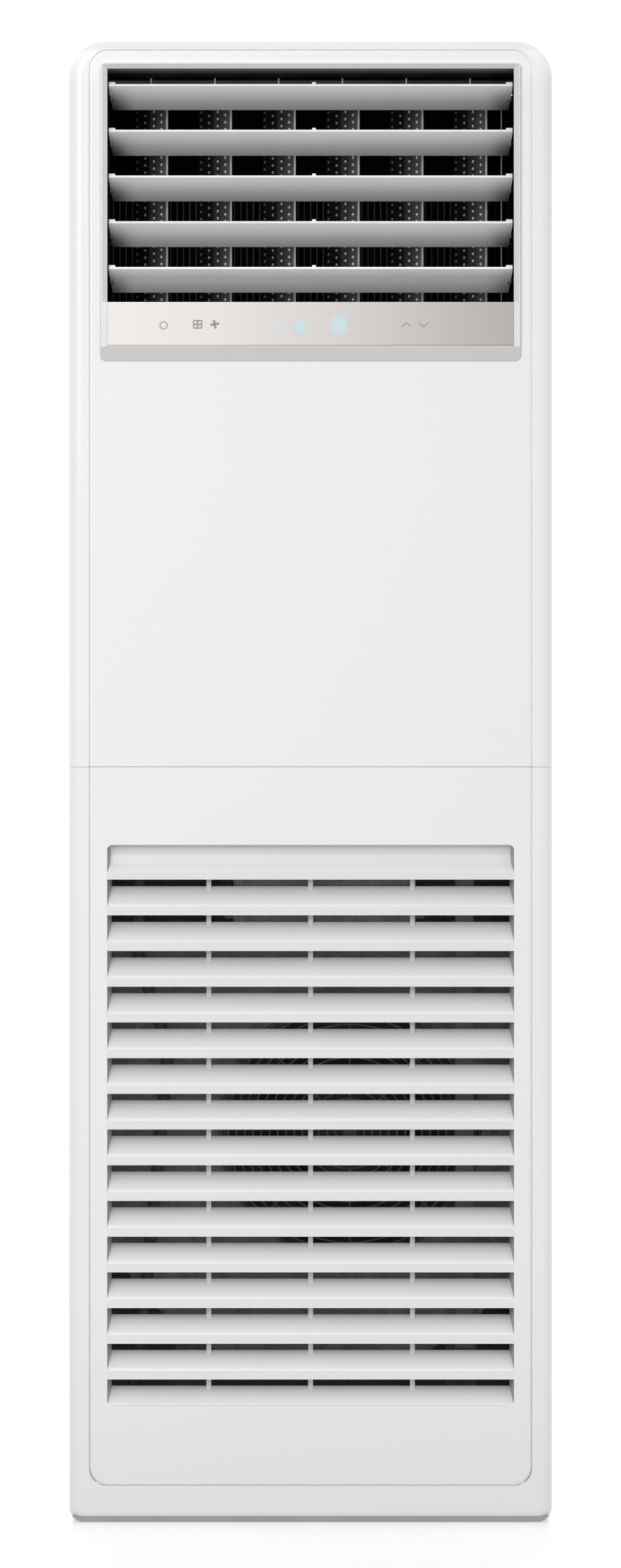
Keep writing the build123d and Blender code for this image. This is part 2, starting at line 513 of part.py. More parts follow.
# ---------------------------------------------------------------------------
# Outlet duct behind the bezel
# ---------------------------------------------------------------------------
DUCT_X = 253.6        # inner wall
DUCT_T = 3.0
DUCT_F = -183.0       # front edge
DUCT_B = -40.0        # rear edge
DUCT_FLOOR = 1512.0
DUCT_CEIL = 1806.0
VANE_Y = -85.0
VANE_X = (-200.0, -120.0, -40.0, 40.0, 120.0, 200.0)
LV_Y = -154.0
LV_Z = (1778.2, 1721.1, 1664.0, 1606.9, 1549.8)
PIVOT_R = 2.5
PIVOT_CL = 0.06
with BuildPart() as outlet_duct:
    with BuildSketch(at_x(-DUCT_X - DUCT_T)):
        Polygon((DUCT_F, DUCT_FLOOR - DUCT_T), (DUCT_B, DUCT_FLOOR - DUCT_T), (DUCT_B, DUCT_CEIL + DUCT_T),
                (-126, DUCT_CEIL + DUCT_T), (DUCT_F, OPEN_TOP + DUCT_T), align=None)
    extrude(amount=2 * (DUCT_X + DUCT_T))
    with BuildSketch(at_x(-DUCT_X)):
        Polygon((DUCT_F - 1, DUCT_FLOOR), (DUCT_B + 1, DUCT_FLOOR), (DUCT_B + 1, DUCT_CEIL),
                (-128, DUCT_CEIL), (DUCT_F, OPEN_TOP), (DUCT_F - 1, OPEN_TOP), align=None)
    extrude(amount=2 * DUCT_X, mode=Mode.SUBTRACT)
    # front lip that backs the top of the control bar
    slab(-DUCT_X - DUCT_T, DUCT_X + DUCT_T, DUCT_F, -181.2, DUCT_FLOOR - DUCT_T, 1516)
    # pivot bores for louvres and vanes
    for sx in (-1, 1):
        for z in LV_Z:
            with Locations((sx * (DUCT_X + 1.5), LV_Y, z)):
                Cylinder(PIVOT_R + PIVOT_CL, 12, rotation=(0, 90, 0), mode=Mode.SUBTRACT)
    for x in VANE_X:
        with Locations((x, VANE_Y, DUCT_FLOOR)):
            Cylinder(PIVOT_R + PIVOT_CL, 20, mode=Mode.SUBTRACT)
        with Locations((x, VANE_Y, DUCT_CEIL)):
            Cylinder(PIVOT_R + PIVOT_CL, 20, mode=Mode.SUBTRACT)
    # fixing ears
    for sx in (-1, 1):
        for z in (1560, 1760):
            slab(*sorted((sx * (DUCT_X + DUCT_T), sx * 271.0)), -44, DUCT_B, z - 8, z + 8)
            with Locations((sx * 264, -42, z)):
                Cylinder(2.2, 12, rotation=(90, 0, 0), mode=Mode.SUBTRACT)
save(outlet_duct, "outlet_duct")

# ---------------------------------------------------------------------------
# Horizontal louvres.  Stored as photographed: front edge up 33 degrees.
# ---------------------------------------------------------------------------
LV_ANG = 33.0
LV_HALF = 28.0        # pivot to front edge
LV_REAR = 24.8        # pivot to rear edge
LV_FX = 251.8         # half width at the front edge
LV_RX = 247.2         # half width at the rear edge
CRANK_R = 30.0
ca, sa = cos(radians(LV_ANG)), sin(radians(LV_ANG))
for i, zc in enumerate(LV_Z):
    # plane along the chord, origin on the pivot, local x = X, local y = rearwards along the chord
    chord = Plane(origin=(0, LV_Y, zc), x_dir=(1, 0, 0), z_dir=(0, sa, ca))
    with BuildPart() as louvre:
        with BuildSketch(chord.offset(-1.6)):
            Polygon((-LV_FX, -LV_HALF), (LV_FX, -LV_HALF), (LV_FX, -LV_HALF + 6), (LV_RX, LV_REAR),
                    (-LV_RX, LV_REAR), (-LV_FX, -LV_HALF + 6), align=None)
        extrude(amount=3.2)
        fillet([e for e in louvre.edges() if e.length > 480], 1.2)
        # raised tabs above the front edge, ends and middle
        for x0, x1 in ((-LV_FX, -LV_FX + 8), (LV_FX - 8, LV_FX), (2.0, 6.5)):
            with BuildSketch(chord.offset(1.0)):
                with Locations(((x0 + x1) / 2, -LV_HALF + 4)):
                    Rectangle(x1 - x0, 6)
            extrude(amount=3.6)
        # end bosses and pivot pins
        for sx in (-1, 1):
            with BuildSketch(at_x(sx * 246)):
                with Locations((LV_Y, zc)):
                    Circle(5)
            extrude(amount=4.4 * sx)
            with BuildSketch(at_x(sx * 246)):
                with Locations((LV_Y, zc)):
                    Circle(PIVOT_R)
            extrude(amount=(22.0 if (sx > 0 and i == 2) else 12.6) * sx)
        # crank arm on the left end, horizontal at rest
        slab(-250.4, -248.6, LV_Y, LV_Y + CRANK_R + 3, zc - 3, zc + 3)
        with BuildSketch(at_x(-249)):
            with Locations((LV_Y + CRANK_R, zc)):
                Circle(1.5)
        extrude(amount=-4.1)
        # trim the plate where the link bar passes
    save(louvre, "louvre_%d" % (i + 1))

with BuildPart() as louvre_link:
    slab(-252.8, -250.8, LV_Y + CRANK_R - 4, LV_Y + CRANK_R + 4, LV_Z[-1] - 5, LV_Z[0] + 5)
    for zc in LV_Z:
        with BuildSketch(at_x(-250)):
            with Locations((LV_Y + CRANK_R, zc)):
                Circle(1.56)
        extrude(amount=-5, mode=Mode.SUBTRACT)
save(louvre_link, "louvre_link")

# Stepper motor on the right wall of the duct drives the middle louvre's pin
with BuildPart() as louvre_motor:
    with BuildSketch(at_x(DUCT_X + DUCT_T)):
        with Locations((LV_Y, LV_Z[2])):
            Circle(9)
    extrude(amount=14)
    with BuildSketch(at_x(DUCT_X + DUCT_T + 4)):
        with Locations((LV_Y, LV_Z[2])):
            Circle(11.5)
    extrude(amount=13)
    with BuildSketch(at_x(DUCT_X + DUCT_T)):
        with Locations((LV_Y, LV_Z[2])):
            Circle(PIVOT_R + PIVOT_CL)
    extrude(amount=13, mode=Mode.SUBTRACT)
    slab(DUCT_X + DUCT_T, DUCT_X + DUCT_T + 1.2, LV_Y - 5, LV_Y + 5, LV_Z[2] - 19, LV_Z[2] - 8)
    slab(DUCT_X + DUCT_T, DUCT_X + DUCT_T + 1.2, LV_Y - 5, LV_Y + 5, LV_Z[2] + 8, LV_Z[2] + 19)
save(louvre_motor, "louvre_motor")

# ---------------------------------------------------------------------------
# Vertical vanes.  Stored as photographed: turned 45 degrees, front edge right.
# ---------------------------------------------------------------------------
VN_TOP = 1797.0
VN_BOT = 1524.0
VN_HALF = 30.0
VCR = 24.0
c45 = cos(radians(45))
for i, xc in enumerate(VANE_X):
    vpl = Plane(origin=(xc, VANE_Y, VN_BOT), x_dir=(c45, -c45, 0), z_dir=(0, 0, 1))
    with BuildPart() as vane:
        with BuildSketch(vpl):
            SlotOverall(2 * VN_HALF, 2.0)
        extrude(amount=VN_TOP - VN_BOT)
        with Locations((xc, VANE_Y, (VN_BOT + VN_TOP) / 2)):
            Cylinder(3.4, VN_TOP - VN_BOT)
        # pivots reach through floor and ceiling
        with Locations((xc, VANE_Y, (1506.5 + 1812) / 2)):
            Cylinder(PIVOT_R, 1812 - 1506.5)
        if i == 5:
            with Locations((xc, VANE_Y, 1503)):
                Cylinder(PIVOT_R, 16)
        # crank pin under the rear edge
        with Locations((xc - VCR * c45, VANE_Y + VCR * c45, VN_BOT - 1)):
            Cylinder(2.6, 2.4)
        with Locations((xc - VCR * c45, VANE_Y + VCR * c45, VN_BOT - 4)):
            Cylinder(1.5, 5.6)
    save(vane, "vane_%d" % (i + 1))
with BuildPart() as vane_link:
    slab(VANE_X[0] - VCR * c45 - 6, VANE_X[-1] - VCR * c45 + 6, VANE_Y + VCR * c45 - 4,
         VANE_Y + VCR * c45 + 4, 1518.6, 1520.8)
    for xc in VANE_X:
        with Locations((xc - VCR * c45, VANE_Y + VCR * c45, 1520)):
            Cylinder(1.56, 10, mode=Mode.SUBTRACT)
save(vane_link, "vane_link")
with BuildPart() as vane_motor:
    with Locations((200, VANE_Y, 1509 - 2)):
        Cylinder(9, 4)
    with Locations((200, VANE_Y, 1505 - 6.5)):
        Cylinder(13.5, 13)
    slab(179, 221, VANE_Y - 5, VANE_Y + 5, 1507.8, 1509)
    with Locations((200, VANE_Y, 1502)):
        Cylinder(PIVOT_R + PIVOT_CL, 15, mode=Mode.SUBTRACT)
save(vane_motor, "vane_motor")

# Guard of thin upright rods between duct and coil chamber
with BuildPart() as outlet_guard:
    for i in range(-31, 32):
        x = i * 8.0
        with Locations((x, -46, (1514 + 1686) / 2)):
            Cylinder(1.0, 1686 - 1514)
    for z in (1516, 1600, 1682):
        slab(-DUCT_X + 0.3, DUCT_X - 0.3, -47.2, -44.8, z - 1.6, z + 1.6)
save(outlet_guard, "outlet_guard")

# ---------------------------------------------------------------------------
# Blower: scroll housing, inlet ring, wire guard, wheel, motor
# ---------------------------------------------------------------------------
FAN_X = 49.0
FAN_Z = 488.0
INLET_R = 165.0
SC_F = -102.0         # front plate plane (front face)
SC_B = 78.0           # back plate plane (rear face)
SC_T = 1.2
SC_TOP = 742.0


def scroll_pts(grow, n=40):
    # spiral from the tongue over the top, right, bottom, left and up to the outlet
    pts = []
    a0, a1 = radians(118), radians(-180)
    for k in range(n + 1):
        t = k / n
        a = a0 + (a1 - a0) * t
        d = 298.0 * t
        r = 200.0 + 36.0 * d / 118.0 if d < 118 else 236.0 + 93.0 * (d - 118.0) / 180.0
        pts.append((FAN_X + (r + grow) * cos(a), FAN_Z + (r + grow) * sin(a)))
    return pts


tx, tz = scroll_pts(0)[0]
with BuildPart() as scroll_housing:
    # outline of the rolled wrapper, closed by the back plate
    with BuildSketch(at_y(SC_B)):
        with BuildLine():
            sp = Spline(*scroll_pts(0))
            l1 = Line(sp @ 1, (FAN_X - 329.0, SC_TOP))
            l2 = Line(l1 @ 1, (tx, SC_TOP))
            Line(l2 @ 1, sp @ 0)
        make_face()
    extrude(amount=SC_B - SC_F - SC_T)
    with BuildSketch(at_y(SC_B - SC_T)):
        with BuildLine():
            sp = Spline(*scroll_pts(-SC_T))
            l1 = Line(sp @ 1, (FAN_X - 329.0 + SC_T, SC_TOP + 10))
            l2 = Line(l1 @ 1, (tx - SC_T, SC_TOP + 10))
            l3 = Line(l2 @ 1, (tx - SC_T, tz - 2))
            Line(l3 @ 1, sp @ 0)
        make_face()
    extrude(amount=SC_B - SC_F + 10, mode=Mode.SUBTRACT)
    with BuildSketch(at_y(SC_B + 1)):
        with Locations((FAN_X, FAN_Z)):
            Circle(70)
    extrude(amount=5, mode=Mode.SUBTRACT)
save(scroll_housing, "scroll_housing")

# Front plate of the blower, rounded below, with the round inlet
with BuildPart() as blower_front:
    with BuildSketch(at_y(SC_F + SC_T)):
        with Locations((14, 471)):
            Circle(292)
        with Locations((0, 700)):
            Rectangle(592, 2 * 229)
        with Locations((0, SC_TOP + 200)):
            Rectangle(800, 400, mode=Mode.SUBTRACT)
        with Locations((-696, 500), (696, 500)):
            Rectangle(800, 1200, mode=Mode.SUBTRACT)
        with Locations((FAN_X, FAN_Z)):
            Circle(INLET_R + 2, mode=Mode.SUBTRACT)
    extrude(amount=SC_T)
    with Locations(*[Pos(x, SC_F, z) for x, z in ((-289, 600), (289, 600), (-289, 330), (289, 330))]):
        Cylinder(2.2, 10, rotation=(90, 0, 0), mode=Mode.SUBTRACT)
save(blower_front, "blower_front")

# Bell-mouth ring
with BuildPart() as inlet_ring:
    with BuildSketch(Plane(origin=(FAN_X, 0, FAN_Z), x_dir=(1, 0, 0), z_dir=(0, 0, 1))):
        with BuildLine():
            l1 = Line((176, SC_F - 1.5), (176, SC_F - 0.1))
            l2 = Line(l1 @ 1, (INLET_R + 1.8, SC_F - 0.1))
            l3 = Line(l2 @ 1, (INLET_R + 1.8, SC_F + 2.5))
            l4 = Line(l3 @ 1, (153, SC_F + 18))
            l5 = Line(l4 @ 1, (151.8, SC_F + 17))
            l6 = Line(l5 @ 1, (INLET_R, SC_F - 1.5))
            Line(l6 @ 1, l1 @ 0)
        make_face()
    revolve(axis=Axis((FAN_X, 0, FAN_Z), (0, 1, 0)))
save(inlet_ring, "inlet_ring")

# Wire guard: concentric rings on radial stays, fixed by four eyes
with BuildPart() as fan_guard:
    with BuildSketch(at_y(-110.4)):
        with Locations((FAN_X, FAN_Z)):
            for k in range(15, -1, -1):
                r = 8.0 + k * 10.3
                Circle(r + 1.1)
                Circle(r - 1.1, mode=Mode.SUBTRACT)
            with PolarLocations(0, 8):
                with Locations((88, 0)):
                    Rectangle(164, 2.4)
    extrude(amount=2.2)
    # legs down to the inlet ring
    for k in range(4):
        ang = radians(k * 90)
        with Locations((FAN_X + 169.0 * cos(ang), -107.0, FAN_Z + 169.0 * sin(ang))):
            Cylinder(1.8, 6.8, rotation=(90, 0, 0))
save(fan_guard, "fan_guard")

WH_F = SC_F + 22      # wheel front ring
WH_B = SC_B - 14      # wheel back disc
with BuildPart() as fan_wheel:
    axis_pl = Plane(origin=(FAN_X, 0, FAN_Z), x_dir=(1, 0, 0), z_dir=(0, 0, 1))
    # back disc dished forward over the motor, with hub
    with BuildSketch(axis_pl):
        with BuildLine():
            Polyline((9, WH_B - 42), (30, WH_B - 42), (60, WH_B - 36), (120, WH_B - 2), (190, WH_B - 2),
                     (190, WH_B), (119, WH_B), (59, WH_B - 34), (20, WH_B - 39.5), (20, WH_B - 20), (9, WH_B - 20),
                     (9, WH_B - 42))
        make_face()
    revolve(axis=Axis((FAN_X, 0, FAN_Z), (0, 1, 0)))
    with BuildSketch(at_y(WH_F + 10)):
        with Locations((FAN_X, FAN_Z)):
            Circle(190)
            Circle(172, mode=Mode.SUBTRACT)
    extrude(amount=10)
    # forward-curved blades
    with BuildSketch(at_y(WH_B - 1)):
        with Locations((FAN_X, FAN_Z)):
            with PolarLocations(0, 36):
                Polygon((164, 0), (176, 3.2), (189, 12.2), (188, 13.4), (175, 4.6), (164, 1.6), align=None)
    extrude(amount=WH_B - WH_F - 2)
    # shaft, runs in the motor
    with Locations((FAN_X, 60, FAN_Z)):
        Cylinder(6.0, 92, rotation=(90, 0, 0))
    with Locations((FAN_X, WH_B - 31, FAN_Z)):
        Cylinder(10, 22, rotation=(90, 0, 0))
save(fan_wheel, "fan_wheel")

with BuildPart() as fan_motor:
    with Locations((FAN_X, 122, FAN_Z)):
        Cylinder(58, 84, rotation=(90, 0, 0))
    fillet(fan_motor.edges().filter_by(GeomType.CIRCLE), 6)
    with Locations((FAN_X, 74, FAN_Z)):
        Cylinder(22, 14, rotation=(90, 0, 0))
    # bearing bore for the shaft
    with Locations((FAN_X, 88, FAN_Z)):
        Cylinder(6.06, 44, rotation=(90, 0, 0), mode=Mode.SUBTRACT)
save(fan_motor, "fan_motor")
with BuildPart() as motor_bracket:
    for sx in (-1, 1):
        slab(*sorted((FAN_X + sx * 59, FAN_X + sx * 61)), SC_B + 0.2, 172, FAN_Z - 20, FAN_Z + 20)
        slab(*sorted((FAN_X + sx * 59, FAN_X + sx * 110)), SC_B + 0.2, SC_B + 2.2, FAN_Z - 20, FAN_Z + 20)
    slab(FAN_X - 61, FAN_X + 61, 166.2, 168.2, FAN_Z - 20, FAN_Z + 20)
    with Locations((FAN_X, 167, FAN_Z)):
        Cylinder(20, 10, rotation=(90, 0, 0), mode=Mode.SUBTRACT)
    for sx in (-1, 1):
        with Locations((FAN_X + sx * 95, SC_B, FAN_Z)):
            Cylinder(3.2, 12, rotation=(90, 0, 0), mode=Mode.SUBTRACT)
save(motor_bracket, "motor_bracket")

# Stand that carries the blower on the base pan
with BuildPart() as blower_stand:
    for x in (-150, 190):
        slab(x - 20, x + 20, -95, 70, 13.2, 14.7)
        slab(x - 20, x + 20, -20, -18.5, 14.7, 300)
        slab(x - 20, x + 20, 20, 21.5, 14.7, 300)
    with BuildSketch(at_y(SC_B + 5)):
        with BuildLine():
            sp = Spline(*scroll_pts(0))
            l1 = Line(sp @ 1, (FAN_X - 329.0, SC_TOP))
            l2 = Line(l1 @ 1, (tx, SC_TOP))
            Line(l2 @ 1, sp @ 0)
        make_face()
    extrude(amount=300, mode=Mode.SUBTRACT)
    # angles that tie the front plate to the side panels
    for sx in (-1, 1):
        for z in (330, 600):
            slab(*sorted((sx * 281, sx * 298.7)), SC_F + 1.3, SC_F + 2.8, z - 22, z + 22)
            slab(*sorted((sx * 297.2, sx * 298.7)), SC_F + 2.8, SC_F + 30, z - 22, z + 22)
            with Locations((sx * 289, SC_F, z)):
                Cylinder(2.2, 20, rotation=(90, 0, 0), mode=Mode.SUBTRACT)
save(blower_stand, "blower_stand")

# Deck between intake chamber and coil chamber
with BuildPart() as air_deck:
    slab(-286, 286, -118, 181.5, SC_TOP, SC_TOP + 1.5)
    slab(FAN_X - 329 + 1.6, scroll_pts(0)[0][0] - 1.6, SC_F + 3, SC_B - 3, SC_TOP - 5, SC_TOP + 5, Mode.SUBTRACT)
    slab(-286, 286, -118, -116.5, SC_TOP - 18, SC_TOP)
    # pass-through for pipes at the right rear
    slab(-292, -240, 100, 172, SC_TOP - 5, SC_TOP + 5, Mode.SUBTRACT)
save(air_deck, "air_deck")

# ---------------------------------------------------------------------------
# Coil: finned block on copper tubes, leaning back, with end plates
# ---------------------------------------------------------------------------
COIL_ANG = 30.0       # from upright, top towards the rear
COIL_L = 470.0
COIL_T = 44.0
coil_pl = Plane(origin=(0, -10.0, 1240.0), x_dir=(0, sin(radians(COIL_ANG)), cos(radians(COIL_ANG))),
                z_dir=(1, 0, 0))
ROWS = [-11.0, 11.0]
COLS = [-211.5 + 47.0 * k for k in range(10)]
TUBE_R = 4.76
with BuildPart() as evaporator_fins:
    for k in range(32):
        x = -248.0 + 16.0 * k
        with BuildSketch(coil_pl.offset(x - 0.4)):
            Rectangle(COIL_L, COIL_T)
            with Locations(*[(c, r) for c in COLS for r in ROWS]):
                Circle(TUBE_R + 0.05, mode=Mode.SUBTRACT)
        extrude(amount=0.8)
    # end plates with fixing holes
    for x in (-256.0, 256.0):
        with BuildSketch(coil_pl.offset(x - 0.75)):
            Rectangle(COIL_L + 10, COIL_T + 14)
            with Locations(*[(c, r) for c in COLS for r in ROWS]):
                Circle(TUBE_R + 0.05, mode=Mode.SUBTRACT)
            with Locations((-226, 24.5), (226, 24.5), (-226, -24.5), (226, -24.5)):
                Circle(2.3, mode=Mode.SUBTRACT)
        extrude(amount=1.5)
save(evaporator_fins, "evaporator_fins")
with BuildPart() as evaporator_tubes:
    with BuildSketch(coil_pl.offset(-262)):
        with Locations(*[(c, r) for c in COLS for r in ROWS]):
            Circle(TUBE_R)
            Circle(TUBE_R - 0.6, mode=Mode.SUBTRACT)
    extrude(amount=524)
    # return bends: right end joins neighbours in one row, left end across rows
    for r in ROWS:
        for k in range(0, 9, 2):
            cx = (COLS[k] + COLS[k + 1]) / 2
            o = coil_pl.from_local_coords((cx, r, 262.0))
            d = coil_pl.x_dir
            pl = Plane(origin=o, x_dir=(d.X, d.Y, d.Z), z_dir=(0, cos(radians(COIL_ANG)), -sin(radians(COIL_ANG))))
            with BuildSketch(Plane(origin=coil_pl.from_local_coords((COLS[k + 1], r, 262.0)),
                                   x_dir=(d.X, d.Y, d.Z), z_dir=(1, 0, 0))):
                Circle(TUBE_R)
                Circle(TUBE_R - 0.6, mode=Mode.SUBTRACT)
            revolve(axis=Axis(o, (0, cos(radians(COIL_ANG)), -sin(radians(COIL_ANG)))), revolution_arc=180)
save(evaporator_tubes, "evaporator_tubes")
# Header pipes: gas (15.88 OD) and liquid (9.52 OD), from the coil down to
# their open ends behind the cabinet
GAS_R = 7.94
LIQ_R = 4.76
GAS_XZ = (-192.0, 98.0)       # where the gas pipe leaves through the rear
LIQ_XZ = (-212.0, 122.0)
PIPE_END = 189.5
GAS_BEAD = 166.5              # start of the stop bead behind the free end
LIQ_BEAD = 171.5


def coil_xyz(c, r, x):
    v = coil_pl.from_local_coords((c, r, x))
    return (v.X, v.Y, v.Z)


with BuildPart() as gas_pipe:
    g0 = coil_xyz(218, -11, -262 - GAS_R)
    g1 = coil_xyz(-222, -11, -262 - GAS_R)
    with BuildLine() as gp:
        FilletPolyline(g0, g1, (g1[0], g1[1], 1002), (-262, 130, 925), (-262, 130, GAS_XZ[1]),
                       (GAS_XZ[0], 130, GAS_XZ[1]), (GAS_XZ[0], PIPE_END, GAS_XZ[1]), radius=18)
    with BuildSketch(Plane(origin=g0, z_dir=(g1[0] - g0[0], g1[1] - g0[1], g1[2] - g0[2]))):
        Circle(GAS_R)
        Circle(GAS_R - 1.0, mode=Mode.SUBTRACT)
    sweep(path=gp.wires()[0], transition=Transition.RIGHT)
    with BuildSketch(at_y(GAS_BEAD + 2.5)):
        with Locations(GAS_XZ):
            Circle(GAS_R + 1.8)
            Circle(GAS_R - 0.5, mode=Mode.SUBTRACT)
    extrude(amount=2.5)
save(gas_pipe, "gas_pipe")
with BuildPart() as liquid_pipe:
    g0 = coil_xyz(218, 11, -262 - LIQ_R)
    g1 = coil_xyz(-222, 11, -262 - LIQ_R)
    with BuildLine() as gp:
        FilletPolyline(g0, g1, (-284, g1[1], 1004), (-284, 146, 900), (-284, 146, LIQ_XZ[1]),
                       (LIQ_XZ[0], 146, LIQ_XZ[1]), (LIQ_XZ[0], PIPE_END, LIQ_XZ[1]), radius=12)
    with BuildSketch(Plane(origin=g0, z_dir=(g1[0] - g0[0], g1[1] - g0[1], g1[2] - g0[2]))):
        Circle(LIQ_R)
        Circle(LIQ_R - 0.8, mode=Mode.SUBTRACT)
    sweep(path=gp.wires()[0], transition=Transition.RIGHT)
    with BuildSketch(at_y(LIQ_BEAD + 2.0)):
        with Locations(LIQ_XZ):
            Circle(LIQ_R + 1.4)
            Circle(LIQ_R - 0.4, mode=Mode.SUBTRACT)
    extrude(amount=2.0)
save(liquid_pipe, "liquid_pipe")
with BuildPart() as flare_nuts:
    for xz, y1, y0, r, af in ((GAS_XZ, GAS_BEAD - 0.2, 150.0, GAS_R, 27.0),
                              (LIQ_XZ, LIQ_BEAD - 0.2, 159.0, LIQ_R, 19.0)):
        with BuildSketch(at_y(y1)):
            with Locations(xz):
                RegularPolygon(af / 2, 6, major_radius=False)
                Circle(r + 0.15, mode=Mode.SUBTRACT)
        extrude(amount=y1 - y0)
save(flare_nuts, "flare_nuts")
with BuildPart() as pipe_collar:
    with BuildSketch(at_y(Y_BACK)):
        with Locations((-200, 106)):
            Circle(42)
            Circle(34.8, mode=Mode.SUBTRACT)
    extrude(amount=1.8)
    with BuildSketch(at_y(Y_BACK - 1.8)):
        with Locations((-200, 106)):
            Circle(37.4)
            Circle(34.8, mode=Mode.SUBTRACT)
    extrude(amount=7)
save(pipe_collar, "pipe_collar")
with BuildPart() as cable_gland:
    with BuildSketch(at_y(Y_BACK)):
        with Locations((-60, 110)):
            Circle(16)
            Circle(6.5, mode=Mode.SUBTRACT)
    extrude(amount=1.8)
    with BuildSketch(at_y(Y_BACK - 1.8)):
        with Locations((-60, 110)):
            Circle(11.9)
            Circle(6.5, mode=Mode.SUBTRACT)
    extrude(amount=10)
save(cable_gland, "cable_gland")

# Drain pan under the low edge of the coil, with its hose
with BuildPart() as drain_pan:
    slab(-254, 254, -160, -88, 988, 1014)
    fillet(drain_pan.edges().filter_by(Axis.Z), 8)
    slab(-252, 252, -158, -90, 990, 1020, Mode.SUBTRACT)
    with Locations((-215, -131, 982)):
        Cylinder(9.8, 14)
    with Locations((-215, -131, 985)):
        Cylinder(6.5, 30, mode=Mode.SUBTRACT)
save(drain_pan, "drain_pan")
HOSE_R = 8.0
with BuildPart() as drain_hose:
    with BuildLine() as hp:
        FilletPolyline((-215, -131, 975), (-215, -131, 700), (-178, -122, 590), (-205, -120, 300),
                       (-235, -116, 60), (-235, 110, 60), (-120, 140, 110), (-120, 190, 110), radius=20)
    with BuildSketch(Plane(origin=(-215, -131, 975), z_dir=(0, 0, -1))):
        Circle(HOSE_R)
        Circle(6.4, mode=Mode.SUBTRACT)
    sweep(path=hp.wires()[0], transition=Transition.RIGHT)
save(drain_hose, "drain_hose")

# ---------------------------------------------------------------------------
# Electrics
# ---------------------------------------------------------------------------
with BuildPart() as electrical_box:
    slab(-95, 130, -143, -119, 730, 905)
    slab(-93.8, 128.8, -145, -120.2, 731.2, 903.8, Mode.SUBTRACT)
    for z in (760, 875):
        slab(130, 142, -120.2, -119, z - 8, z + 8)
        slab(-107, -95, -120.2, -119, z - 8, z + 8)
save(electrical_box, "electrical_box")
with BuildPart() as box_cover:
    slab(-96.4, 131.4, -144.2, -143, 728.6, 906.4)
    slab(-96.4, -95.2, -143, -135, 728.6, 906.4)
    slab(130.2, 131.4, -143, -135, 728.6, 906.4)
    for x in (-40, 70):
        slab(x - 22, x + 22, -145.2, -144.2, 750, 790)
save(box_cover, "box_cover")
with BuildPart() as main_board:
    slab(-85, 120, -125, -123.4, 745, 890)
    slab(-70, -30, -140, -125, 760, 800)
    slab(0, 22, -138, -125, 762, 784)
    slab(60, 104, -137, -125, 840, 872)
    with Locations((-10, -132, 855)):
        Cylinder(9, 14, rotation=(90, 0, 0))
    with Locations((20, -132, 855)):
        Cylinder(9, 14, rotation=(90, 0, 0))
    for x in (-80, 115):
        for z in (750, 885):
            with Locations((x, -121.8, z)):
                Cylinder(2.5, 3.2, rotation=(90, 0, 0))
save(main_board, "main_board")
with BuildPart() as cable_duct:
    slab(181, 204, -137, -118.2, 215, 905)
    slab(182.5, 202.5, -135.5, -110, 216.5, 903.5, Mode.SUBTRACT)
save(cable_duct, "cable_duct")
with BuildPart() as terminal_block:
    slab(216, 278, -116, -103.4, 560, 590)
    for x in (224, 235, 246, 257, 268):
        slab(x - 0.8, x + 0.8, -121, -116, 560, 590)
    for x in (229.5, 240.5, 251.5, 262.5):
        for z in (567, 583):
            with Locations((x, -117.0, z)):
                Cylinder(3.0, 2.0, rotation=(90, 0, 0))
save(terminal_block, "terminal_block")

# ---------------------------------------------------------------------------
# Brackets and screws
# ---------------------------------------------------------------------------
with BuildPart() as screws:
    # blower front plate
    for sx in (-1, 1):
        for z in (330, 600):
            with Locations((sx * 289, SC_F + 2.0, z)):
                Cylinder(1.85, 4.2, rotation=(90, 0, 0))
            with Locations((sx * 289, SC_F - 0.9, z)):
                Cylinder(4.2, 1.8, rotation=(90, 0, 0))
    # rear panels
    for x in (-288, 288):
        for z in (60, 340, 620, 880, 920, 1200, 1480, 1760):
            with Locations((x, 185.4, z)):
                Cylinder(1.85, 6.2, rotation=(90, 0, 0))
            with Locations((x, REAR_Y + REAR_T + 0.9, z)):
                Cylinder(4.2, 1.8, rotation=(90, 0, 0))
save(screws, "screws")
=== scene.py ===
import bpy
import bmesh
import json
import math
import random
from mathutils import Vector, Matrix
from mathutils.geometry import tessellate_polygon


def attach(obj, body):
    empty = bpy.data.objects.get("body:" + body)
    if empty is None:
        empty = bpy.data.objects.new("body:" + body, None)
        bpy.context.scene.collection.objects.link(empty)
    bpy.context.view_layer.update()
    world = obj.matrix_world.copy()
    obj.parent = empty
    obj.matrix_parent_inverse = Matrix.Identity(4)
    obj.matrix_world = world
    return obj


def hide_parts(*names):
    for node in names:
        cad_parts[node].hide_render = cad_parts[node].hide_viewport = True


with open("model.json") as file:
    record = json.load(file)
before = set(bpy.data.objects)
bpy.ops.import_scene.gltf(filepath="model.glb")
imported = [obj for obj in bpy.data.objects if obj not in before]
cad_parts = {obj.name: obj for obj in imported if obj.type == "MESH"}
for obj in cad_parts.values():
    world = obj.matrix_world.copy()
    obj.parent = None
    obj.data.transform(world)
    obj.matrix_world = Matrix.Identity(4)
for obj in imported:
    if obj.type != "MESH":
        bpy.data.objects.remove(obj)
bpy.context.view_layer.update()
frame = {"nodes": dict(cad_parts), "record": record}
NODES = frame["nodes"]
RND = random.Random(20)
SCENE = bpy.context.scene


# ---------------------------------------------------------------- materials
def _new(name):
    m = bpy.data.materials.new(name)
    m.use_nodes = True
    nt = m.node_tree
    nt.nodes.clear()
    out = nt.nodes.new("ShaderNodeOutputMaterial")
    bsdf = nt.nodes.new("ShaderNodeBsdfPrincipled")
    nt.links.new(bsdf.outputs["BSDF"], out.inputs["Surface"])
    return m, nt, bsdf


